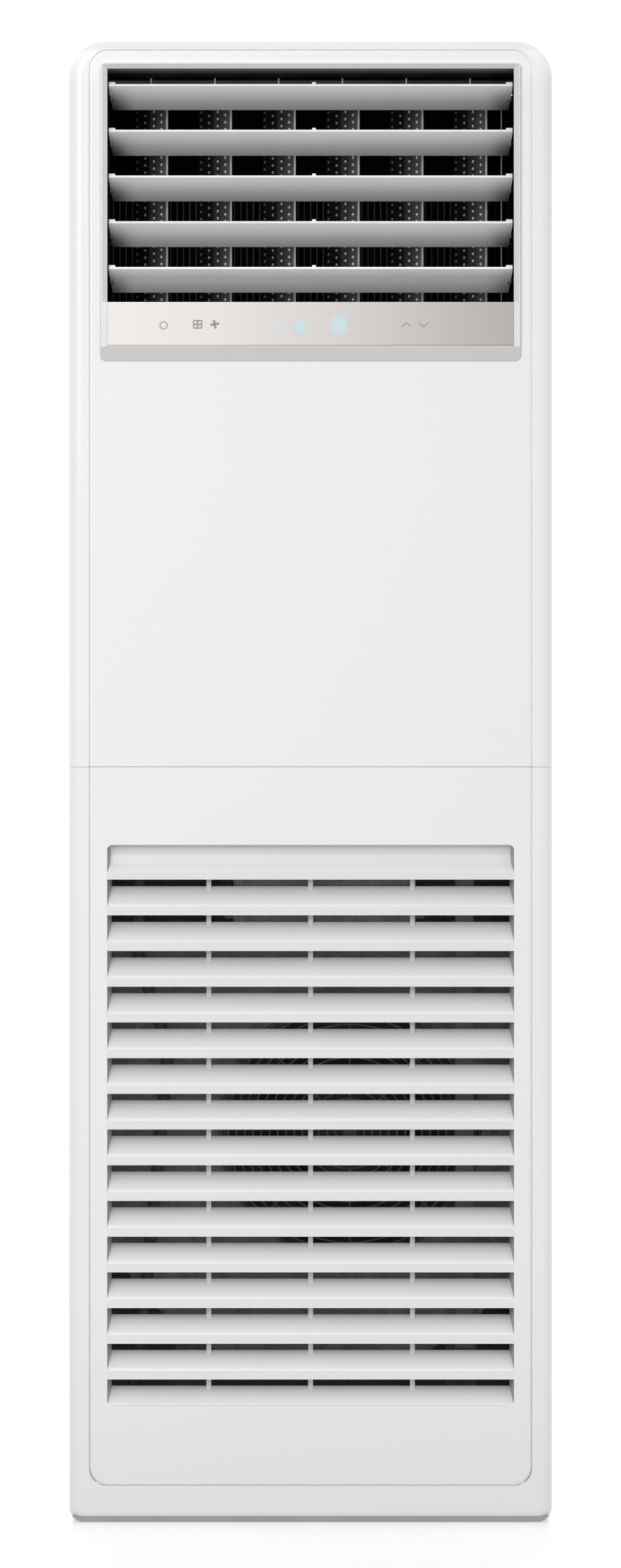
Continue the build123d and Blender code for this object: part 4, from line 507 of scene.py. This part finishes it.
class Build:
    """Collects closed bodies into one mesh."""

    def __init__(self):
        self.v, self.f, self.m = [], [], []

    def put(self, verts, faces, mat=0):
        n = len(self.v)
        self.v += list(verts)
        self.f += [tuple(i + n for i in f) for f in faces]
        self.m += [mat] * len(faces)

    def box(self, x0, x1, y0, y1, z0, z1, mat=0):
        v = [(x, y, z) for z in (z0, z1) for y in (y0, y1) for x in (x0, x1)]
        f = [(0, 2, 3, 1), (4, 5, 7, 6), (0, 1, 5, 4), (2, 6, 7, 3), (0, 4, 6, 2), (1, 3, 7, 5)]
        self.put(v, f, mat)

    def tube(self, path, radii, seg=10, mat=0, closed=False, up=Vector((0.0173, 1.0, 0.031))):
        """A round rod along a list of points, with one radius per point."""
        pts = [Vector(p) for p in path]
        n = len(pts)
        verts, faces = [], []
        ref = up
        for i, p in enumerate(pts):
            a = pts[(i - 1) % n] if (closed or i > 0) else p
            c = pts[(i + 1) % n] if (closed or i < n - 1) else p
            d = (c - a).normalized()
            s = d.cross(ref)
            if s.length < 1e-4:
                s = d.cross(Vector((1, 0.01, 0)))
            s.normalize()
            t = s.cross(d).normalized()
            ref = t
            r = radii[i] if hasattr(radii, "__len__") else radii
            for k in range(seg):
                w = 2 * math.pi * k / seg
                verts.append(p + s * (r * math.cos(w)) + t * (r * math.sin(w)))
        last = n if closed else n - 1
        for i in range(last):
            j = (i + 1) % n
            for k in range(seg):
                k2 = (k + 1) % seg
                faces.append((i * seg + k, i * seg + k2, j * seg + k2, j * seg + k))
        if not closed:
            faces.append(tuple(range(seg - 1, -1, -1)))
            faces.append(tuple((n - 1) * seg + k for k in range(seg)))
        self.put(verts, faces, mat)

    def dome(self, centre, normal, radius, height, sink, seg=10, rings=3, mat=0):
        """A shallow raised cap, closed underneath, sunk a little into what it stands on."""
        nrm = Vector(normal).normalized()
        s = nrm.cross(Vector((0, 0, 1))).normalized()
        t = nrm.cross(s).normalized()
        c = Vector(centre)
        verts, faces = [], []
        for r in range(rings):
            w = math.pi / 2 * r / rings
            rr, hh = radius * math.cos(w), height * math.sin(w)
            for k in range(seg):
                a = 2 * math.pi * k / seg
                verts.append(c + nrm * hh + s * (rr * math.cos(a)) + t * (rr * math.sin(a)))
        for r in range(rings - 1):
            for k in range(seg):
                k2 = (k + 1) % seg
                faces.append((r * seg + k, r * seg + k2, (r + 1) * seg + k2, (r + 1) * seg + k))
        verts.append(c + nrm * height)
        top = len(verts) - 1
        for k in range(seg):
            faces.append(((rings - 1) * seg + k, (rings - 1) * seg + (k + 1) % seg, top))
        base = len(verts)
        for k in range(seg):
            a = 2 * math.pi * k / seg
            verts.append(c - nrm * sink + s * (radius * math.cos(a)) + t * (radius * math.sin(a)))
        for k in range(seg):
            k2 = (k + 1) % seg
            faces.append((base + k, base + k2, k2, k))
        faces.append(tuple(base + k for k in range(seg)))
        self.put(verts, faces, mat)

    def plate(self, loops, place, z0, z1, mat=0):
        """A flat plate: loops[0] the outline, the rest holes, as 2-D points. place(u, v, w) gives the point."""
        tris = tessellate_polygon([[Vector((p[0], p[1], 0)) for p in lp] for lp in loops])
        flat = [p for lp in loops for p in lp]
        n = len(flat)
        verts = [place(p[0], p[1], z0) for p in flat] + [place(p[0], p[1], z1) for p in flat]
        faces = [tuple(t) for t in tris] + [tuple(i + n for i in reversed(t)) for t in tris]
        i0 = 0
        for lp in loops:
            k = len(lp)
            for i in range(k):
                j = (i + 1) % k
                faces.append((i0 + i, i0 + j, n + i0 + j, n + i0 + i))
            i0 += k
        self.put(verts, faces, mat)

    def make(self, name, body, mats, **kw):
        return add(name, self.v, self.f, body, mats, index=self.m, **kw)


def circle(cx, cy, r, n=48, a0=0.0):
    return [(cx + r * math.cos(a0 + 2 * math.pi * i / n), cy + r * math.sin(a0 + 2 * math.pi * i / n)) for i in range(n)]


# ---------------------------------------------------------------- round wire guard in front of the blower
FAN_X, FAN_Z = 49.0, 488.0
g = Build()
for k in range(16):
    r = 8.0 + k * 10.3
    n = 20 + 6 * k
    g.tube([(FAN_X + r * math.cos(2 * math.pi * i / n), -111.5, FAN_Z + r * math.sin(2 * math.pi * i / n)) for i in range(n)],
           1.1, 8, closed=True, up=Vector((0, 1, 0)))
for k in range(8):
    a = math.radians(45 * k)
    ca, sa = math.cos(a), math.sin(a)
    g.tube([(FAN_X + r * ca, y, FAN_Z + r * sa) for r, y in ((6, -109.6), (60, -109.6), (120, -109.6), (160, -109.6), (168, -109.0),
                                                            (170, -107.0), (170.4, -104.2))], 1.25, 8, up=Vector((0, 1, 0.02)))
for k in range(4):
    a = math.radians(90 * k)
    g.tube([(FAN_X + 169.0 * math.cos(a), y, FAN_Z + 169.0 * math.sin(a)) for y in (-110.4, -103.6)], 1.8, 12, up=Vector((0, 0, 1)))
# flattened middle disc that holds the wires
g.plate([circle(FAN_X, FAN_Z, 9.4, 40)], lambda u, v, w: (u, w, v), -110.4, -108.6)
g.make("guard_wires", "cabinet", "wire_grey", replaces=["fan_guard"])

# ---------------------------------------------------------------- filter net: crossed strands in its frame
g = Build()
X0, X1, Z0, Z1 = -255.0, 255.0, 153.0, 862.0
P = 2.6
nx = int((X1 - X0) / P)
for i in range(1, nx):
    x = X0 + (X1 - X0) * i / nx
    g.box(x - 0.13, x + 0.13, -159.22, -158.96, Z0 - 0.6, Z1 + 0.6)
nz = int((Z1 - Z0) / P)
for i in range(1, nz):
    z = Z0 + (Z1 - Z0) * i / nz
    g.box(X0 - 0.6, X1 + 0.6, -159.04, -158.78, z - 0.13, z + 0.13)
g.make("filter_mesh", "air_filter", "net_grey", smooth=False, replaces=["filter_net"])

# ---------------------------------------------------------------- coil fins at their real close spacing
TILT = math.radians(30.0)
CU = Vector((0, math.sin(TILT), math.cos(TILT)))       # up along the coil
CN = Vector((0, math.cos(TILT), -math.sin(TILT)))      # through the coil
C0 = Vector((0, -10.0, 1240.0))
g = Build()


def coil_plate(x, t, half_l, half_t, corrugate=0.0):
    v, f = [], []
    steps = 5 if corrugate else 2
    for s in (-t / 2, t / 2):
        for i in range(steps):
            w = -half_t + 2 * half_t * i / (steps - 1)
            dx = corrugate * (1 if i % 2 else -1)
            for h in (-half_l, half_l):
                p = C0 + CU * h + CN * w
                v.append((x + s + dx, p.y, p.z))
    m = steps * 2
    for i in range(steps - 1):
        a = 2 * i
        f.append((a, a + 1, a + 3, a + 2))
        f.append((m + a, m + a + 2, m + a + 3, m + a + 1))
        f.append((a, a + 2, m + a + 2, m + a))
        f.append((a + 1, m + a + 1, m + a + 3, a + 3))
    f.append((0, m, m + 1, 1))
    f.append((m - 2, m - 1, 2 * m - 1, 2 * m - 2))
    g.put(v, f)


k = 0
x = -254.0
while x <= 254.01:
    coil_plate(x, 0.16, 235.0, 22.0, 0.35)
    x += 2.1
coil_plate(-256.0, 1.5, 240.0, 29.0)
coil_plate(256.0, 1.5, 240.0, 29.0)
g.make("coil_fin_pack", "cabinet", "aluminium_fin", smooth=False, replaces=["evaporator_fins"])

# ---------------------------------------------------------------- upright vanes with their staggered dimples
VANE_Y, V_LO, V_HI = -85.0, 1524.0, 1797.0
C45 = math.cos(math.radians(45))
for i in range(6):
    xc = -200.0 + 80.0 * i
    U = Vector((C45, -C45, 0))
    N = Vector((-C45, -C45, 0))
    O = Vector((xc, VANE_Y, 0))

    def at(u, w, z):
        p = O + U * u + N * w
        return (p.x, p.y, z)

    g = Build()
    # blade section: 2 mm plate, a round bead along the front edge and a thinner rear edge; the bead faces carry the
    # painted highlight
    sec = []
    half, th = 30.0, 1.0
    for a in range(-90, 91, 18):
        sec.append((half - 1.25 + 1.25 * math.cos(math.radians(a)), 1.25 * math.sin(math.radians(a))))
    sec += [(half - 2.6, th), (6.0, th), (3.6, 2.6), (2.4, 3.2), (0.0, 3.4), (-2.4, 3.2), (-3.6, 2.6), (-6.0, th), (-half + 3.0, th)]
    for a in range(90, 271, 30):
        sec.append((-half + 0.7 + 0.7 * math.cos(math.radians(a)), 0.7 * math.sin(math.radians(a))))
    sec += [(-half + 3.0, -th), (-6.0, -th), (-3.6, -2.6), (-2.4, -3.2), (0.0, -3.4), (2.4, -3.2), (3.6, -2.6), (6.0, -th), (half - 2.6, -th)]
    zs = [V_LO, V_LO + 0.8, V_HI - 0.8, V_HI]
    ins = [0.6, 0.0, 0.0, 0.6]
    n = len(sec)
    verts, faces, mats = [], [], []
    for z, q in zip(zs, ins):
        for (u, w) in sec:
            fu = (abs(u) - q) / abs(u) if abs(u) > 1e-6 else 1.0
            verts.append(at(u * fu, w * (1 - q / 3.5), z))
    for r in range(len(zs) - 1):
        for j in range(n):
            j2 = (j + 1) % n
            faces.append((r * n + j, r * n + j2, (r + 1) * n + j2, (r + 1) * n + j))
            mid = (sec[j][0] + sec[j2][0]) / 2
            mats.append(1 if mid > half - 2.5 else 0)
    faces.append(tuple(range(n - 1, -1, -1)))
    faces.append(tuple((len(zs) - 1) * n + j for j in range(n)))
    mats += [0, 0]
    g.v, g.f, g.m = verts, faces, mats
    # pivots and crank pin; the top pins carry the painted glow
    za = 1506.5 if i < 5 else 1495.0
    g.tube([at(0.0, 0, z) for z in (za, za + 0.5, V_LO + 1)], [2.1, 2.5, 2.5], 16)
    g.tube([at(0.0, 0, z) for z in (V_HI - 1, 1797.6, 1811.0)], [1.6, 0.95, 0.95], 12, 3)
    g.tube([at(-24.0, 0, z) for z in (1517.2, 1517.6, 1522.2)], [1.2, 1.5, 1.5], 14)
    g.tube([at(-24.0, 0, z) for z in (1521.8, 1525.0)], 2.6, 16)
    # dimples in staggered columns on both faces, in pale grey as painted glints
    for col, (u, w) in enumerate(((19.4, 0.95), (5.9, 1.05), (-9.6, 0.95), (-24.0, 0.95))):
        z = V_LO + 4.0 + (4.45 if col % 2 else 0.0)
        while z < V_HI - 5.0:
            for sgn in (1, -1):
                g.dome(at(u, sgn * w, z), N * sgn, 2.0, 0.8, 0.6, 9, 3, 2)
            z += 8.9
    g.make("vane_blade_%d" % (i + 1), "vane_%d" % (i + 1), ["vane_black", "vane_edge", "vane_dimple", "pin_painted_glow"], replaces=["vane_%d" % (i + 1)], slot="vane_black")


# ---------------------------------------------------------------- upright guide blade at the right side of the duct, edge on
g = Build()
# the front rod is in the painted-highlight grey
g.tube([(239.0, -100.0, z) for z in (1526.0, 1526.6, 1795.4, 1796.0)], [0.5, 0.75, 0.75, 0.5], 12, 1)
g.box(238.6, 239.4, -99.8, -70.0, 1526.0, 1796.0)
g.make("duct_flange", "cabinet", ["duct_black", "vane_edge"], slot="duct_black")

# ---------------------------------------------------------------- ribbed drain hose
def filleted(points, radius, step=2.0):
    pts = [Vector(p) for p in points]
    out = [pts[0]]
    for a, b, c in zip(pts, pts[1:], pts[2:]):
        d1, d2 = (a - b).normalized(), (c - b).normalized()
        ang = d1.angle(d2)
        tan = radius / math.tan(ang / 2)
        p1, p2 = b + d1 * tan, b + d2 * tan
        mid = b + (d1 + d2).normalized() * (radius / math.sin(ang / 2))
        v1, v2 = p1 - mid, p2 - mid
        turn = v1.angle(v2)
        axis = v1.cross(v2).normalized()
        out.append(("arc", p1, mid, axis, turn, v1))
    out.append(pts[-1])
    res = [pts[0].copy()]

    def line_to(q):
        p = res[-1]
        n = max(1, int(round((q - p).length / step)))
        for i in range(1, n + 1):
            res.append(p.lerp(q, i / n))

    for o in out[1:]:
        if isinstance(o, tuple):
            _, p1, mid, axis, turn, v1 = o
            line_to(p1)
            n = max(3, int(round(radius * turn / step)))
            for i in range(1, n + 1):
                res.append(mid + Matrix.Rotation(turn * i / n, 3, axis) @ v1)
        else:
            line_to(o)
    return res


path = filleted([(-215, -131, 975), (-215, -131, 700), (-178, -122, 590), (-205, -120, 300), (-235, -116, 60), (-235, 110, 60),
                 (-120, 140, 110), (-120, 190, 110)], 20.0, 1.3)
run = [0.0]
for a, b in zip(path, path[1:]):
    run.append(run[-1] + (b - a).length)
total = run[-1]
rad = []
for s in run:
    cuff = s < 26.0 or s > total - 32.0
    rad.append(8.0 if cuff else 7.35 + 0.6 * math.cos(2 * math.pi * s / 5.2))
g = Build()
g.tube(path, rad, 14)
g.make("hose_ribbed", "cabinet", "hose_grey", replaces=["drain_hose"], angle=60)


# ---------------------------------------------------------------- screws with crossed recesses
def cross_screw(g, cx, cz, face, out, head_h, shank):
    """Head on the plane y = face, pointing along out (+1 or -1), with a crossed recess in its crown."""
    place = lambda u, v, w: (cx + u, face + out * w, cz + v)
    n = 28
    r0 = RND.uniform(0, math.pi / 2)
    ring = lambda r: circle(0, 0, r, n, r0)
    levels = [(4.2, 0.0), (4.2, head_h * 0.45), (4.0, head_h * 0.72), (3.5, head_h * 0.9), (2.9, head_h)]
    verts, faces = [], []
    for r, w in levels:
        verts += [place(u, v, w) for u, v in ring(r)]
    for l in range(len(levels) - 1):
        for j in range(n):
            j2 = (j + 1) % n
            faces.append((l * n + j, l * n + j2, (l + 1) * n + j2, (l + 1) * n + j))
    faces.append(tuple(range(n - 1, -1, -1)))
    a, b = 0.42, 1.95
    plus = [(b, -a), (b, a), (a, a), (a, b), (-a, b), (-a, a), (-b, a), (-b, -a), (-a, -a), (-a, -b), (a, -b), (a, -a)]
    c, s = math.cos(r0), math.sin(r0)
    plus = [(u * c - v * s, u * s + v * c) for u, v in plus]
    top = (len(levels) - 1) * n
    tris = tessellate_polygon([[Vector((u, v, 0)) for u, v in ring(2.9)], [Vector((u, v, 0)) for u, v in plus]])
    p0 = len(verts)
    verts += [place(u, v, head_h) for u, v in plus]
    p1 = len(verts)
    verts += [place(u * 0.72, v * 0.72, head_h - 1.1) for u, v in plus]
    idx = lambda i: top + i if i < n else p0 + i - n
    faces += [tuple(idx(i) for i in t) for t in tris]
    for j in range(12):
        j2 = (j + 1) % 12
        faces.append((p0 + j, p0 + j2, p1 + j2, p1 + j))
    faces.append(tuple(p1 + j for j in range(12)))
    g.put(verts, faces)
    g.tube([(cx, face + out * 0.2, cz), (cx, face - out * shank, cz), (cx, face - out * (shank + 1.2), cz)], [1.85, 1.85, 1.1], 14)


g = Build()
for sx in (-1, 1):
    for z in (330, 600):
        cross_screw(g, sx * 289, z, -102.0, -1, 1.8, 3.4)
for x in (-288, 288):
    for z in (60, 340, 620, 880, 920, 1200, 1480, 1760):
        cross_screw(g, x, z, 188.2, 1, 1.8, 5.6)
g.make("screw_set", "cabinet", "screw_zinc", replaces=["screws"], angle=30)

# ---------------------------------------------------------------- printed symbols and lit display on the control bar
FACE = -189.6
front = lambda u, v, w: (u, FACE - w, v)


def printed(name, loops_list, mat="symbol_ink", lift=0.06):
    g = Build()
    for loops in loops_list:
        g.plate(loops, front, -0.03, lift)
    return g.make(name, "cabinet", mat, smooth=False, slot="fascia_silver")


def rounded(x0, x1, z0, z1, r, n=6):
    pts = []
    for cx, cz, a0 in ((x1 - r, z1 - r, 0), (x0 + r, z1 - r, 90), (x0 + r, z0 + r, 180), (x1 - r, z0 + r, 270)):
        for i in range(n + 1):
            a = math.radians(a0 + 90 * i / n)
            pts.append((cx + r * math.cos(a), cz + r * math.sin(a)))
    return pts


# power: a plain ring
printed("symbol_ring", [[circle(-183.2, 1492.6, 5.5, 44), circle(-183.2, 1492.6, 3.5, 44)]], "ink_faint")
# mode: a rounded square with four small panes
mx, mz = -140.8, 1493.8
panes = [rounded(mx + a, mx + a + 3.6, mz + b, mz + b + 2.8, 0.8) for a in (-4.4, 0.8) for b in (-3.8, 1.0)]
printed("symbol_mode", [[rounded(mx - 5.9, mx + 5.9, mz - 5.4, mz + 5.6, 2.0)] + panes])
# fan: four rounded blades round a hub
fx, fz = -119.6, 1494.0
blades = []
for k in range(4):
    a0 = math.radians(90 * k + 10)
    lp = []
    for i in range(20):
        t = 2 * math.pi * i / 20
        r, q = 3.3 + 2.3 * math.cos(t), 1.75 * math.sin(t) * (1.0 + 0.25 * math.cos(t))
        lp.append((fx + r * math.cos(a0) - q * math.sin(a0), fz + r * math.sin(a0) + q * math.cos(a0)))
    blades.append([lp])
printed("symbol_fan", blades + [[circle(fx, fz, 1.7, 24)]])
# up and down arrows


def chevron(cx, cz, up):
    s = 1 if up else -1
    w, h, t = 6.0, 2.5, 1.45
    return [(cx - w, cz - s * h), (cx, cz + s * h), (cx + w, cz - s * h), (cx + w - 0.5, cz - s * (h + t)),
            (cx, cz + s * (h - t * 1.25)), (cx - w + 0.5, cz - s * (h + t))]


printed("symbol_up", [[chevron(119.4, 1494.4, True)]], "ink_right")
printed("symbol_down", [[chevron(140.7, 1492.6, False)]], "ink_right")
# lit numeral and marks glowing softly through the film
dx, dz = 35.6, 1492.6
hole_a = rounded(dx - 1.2, dx + 4.6, dz + 2.8, dz + 5.4, 1.2)
hole_b = rounded(dx - 1.2, dx + 4.6, dz - 5.6, dz - 3.0, 1.2)
printed("display_haze_numeral", [[rounded(dx - 10.9, dx + 10.6, dz - 12.2, dz + 12.2, 6.5)]], "display_haze", 0.02)
printed("display_numeral", [[rounded(dx - 8.6, dx + 8.4, dz - 9.8, dz + 9.9, 5.0), hole_a, hole_b]], "display_glow", 0.05)
printed("display_haze_drop", [[circle(-13.0, 1491.4, 10.2, 40)]], "display_haze", 0.02)
printed("display_drop", [[circle(-13.2, 1491.9, 6.8, 36)]], "display_glow", 0.05)
printed("display_dash", [[rounded(6.8, 11.4, 1497.2, 1504.2, 1.9)]], "display_haze", 0.04)
printed("display_patch", [[rounded(-45.5, -34.0, 1485.0, 1503.0, 4.0)]], "display_faint", 0.02)

# ---------------------------------------------------------------- floor, light, camera
me = bpy.data.meshes.new("floor")
me.from_pydata([(-2.2, -1.35, 0), (2.2, -1.35, 0), (2.2, 4.5, 0), (-2.2, 4.5, 0)], [], [(0, 1, 2, 3)])
floor = bpy.data.objects.new("floor", me)
SCENE.collection.objects.link(floor)
pale = surface("floor_pale", (0.48, 0.48, 0.48), (0.47, 0.47, 0.47), rough=(0.24, 0.27), big=1.2, fine=200.0, bump=0.01)
lb = next(n for n in pale.node_tree.nodes if n.type == "BSDF_PRINCIPLED")
lb.inputs["Specular IOR Level"].default_value = 0.7
lb.inputs["Emission Color"].default_value = (1, 1, 1, 1)
lb.inputs["Emission Strength"].default_value = 0.39
me.materials.append(pale)

world = bpy.data.worlds.new("studio")
SCENE.world = world
world.use_nodes = True
nt = world.node_tree
nt.nodes.clear()
wo = nt.nodes.new("ShaderNodeOutputWorld")
bg = nt.nodes.new("ShaderNodeBackground")
tc = nt.nodes.new("ShaderNodeTexCoord")
sep = nt.nodes.new("ShaderNodeSeparateXYZ")
nt.links.new(tc.outputs["Generated"], sep.inputs["Vector"])


def math_node(op, a, b=None):
    n = nt.nodes.new("ShaderNodeMath")
    n.operation = op
    for i, v in enumerate((a, b)):
        if v is None:
            continue
        if isinstance(v, (int, float)):
            n.inputs[i].default_value = v
        else:
            nt.links.new(v, n.inputs[i])
    return n.outputs[0]


lx = math_node("ADD", math_node("MULTIPLY", sep.outputs["X"], 0.08), 1.0)
lz = nt.nodes.new("ShaderNodeValToRGB")
nt.links.new(math_node("MULTIPLY_ADD", sep.outputs["Z"], 0.5), lz.inputs["Fac"])
nt.nodes[-1].inputs[2].default_value = 0.5
SKY = [(0.0, 0.12), (0.25, 0.22), (0.38, 0.50), (0.48, 0.81), (0.65, 0.84), (1.0, 1.02)]
el = lz.color_ramp.elements
el[0].position, el[0].color = SKY[0][0], (SKY[0][1],) * 3 + (1,)
el[1].position, el[1].color = SKY[-1][0], (SKY[-1][1],) * 3 + (1,)
for pos, val in SKY[1:-1]:
    e = el.new(pos)
    e.color = (val, val, val, 1)
dim = nt.nodes.new("ShaderNodeMapRange")
dim.interpolation_type = "SMOOTHSTEP"
dim.inputs["From Min"].default_value = -0.97
dim.inputs["From Max"].default_value = -0.70
dim.inputs["To Min"].default_value = 0.50
dim.inputs["To Max"].default_value = 1.0
nt.links.new(sep.outputs["X"], dim.inputs["Value"])
dim_r = nt.nodes.new("ShaderNodeMapRange")
dim_r.interpolation_type = "SMOOTHSTEP"
dim_r.inputs["From Min"].default_value = 0.84
dim_r.inputs["From Max"].default_value = 0.98
dim_r.inputs["To Min"].default_value = 1.0
dim_r.inputs["To Max"].default_value = 0.82
nt.links.new(sep.outputs["X"], dim_r.inputs["Value"])
lum = math_node("MULTIPLY", math_node("MULTIPLY", lx, lz.outputs["Color"]),
                math_node("MULTIPLY", dim.outputs["Result"], dim_r.outputs["Result"]))
behind = nt.nodes.new("ShaderNodeMapRange")
behind.interpolation_type = "SMOOTHSTEP"
behind.inputs["From Min"].default_value = 0.0
behind.inputs["From Max"].default_value = 0.35
nt.links.new(sep.outputs["Y"], behind.inputs["Value"])
mixn = nt.nodes.new("ShaderNodeMix")
mixn.data_type = "FLOAT"
nt.links.new(behind.outputs["Result"], mixn.inputs["Factor"])
nt.links.new(lum, mixn.inputs["A"])
mixn.inputs["B"].default_value = 1.02
nt.links.new(mixn.outputs["Result"], bg.inputs["Strength"])
bg.inputs["Color"].default_value = (1, 1, 1, 1)
nt.links.new(bg.outputs["Background"], wo.inputs["Surface"])


def area(name, where, target, size, power, colour=(1, 1, 1)):
    d = bpy.data.lights.new(name, "AREA")
    d.shape = "RECTANGLE"
    d.size, d.size_y = size
    d.energy = power
    d.color = colour
    o = bpy.data.objects.new(name, d)
    o.location = where
    o.rotation_euler = (Vector(target) - Vector(where)).to_track_quat("-Z", "Y").to_euler()
    SCENE.collection.objects.link(o)
    return o


area("key_left", (-1.35, -3.05, 2.35), (0, -0.1, 1.1), (1.5, 1.7), 36)

cam_data = bpy.data.cameras.new("camera")
cam_data.sensor_width = 36.0
cam_data.lens = 300.0
VISIBLE = 2274 * 0.86 / 1000
DIST = VISIBLE * 300.0 / 36.0
cam_data.clip_start, cam_data.clip_end = 1.0, 60.0
cam = bpy.data.objects.new("camera", cam_data)
cam.location = ((450.0 - 450.15) * 0.00086, -0.188 - DIST, (2207.5 - 1137.0) * 0.00086)
cam.rotation_euler = (math.radians(90), 0, 0)
SCENE.collection.objects.link(cam)
SCENE.camera = cam
SCENE.view_settings.view_transform = "Standard"
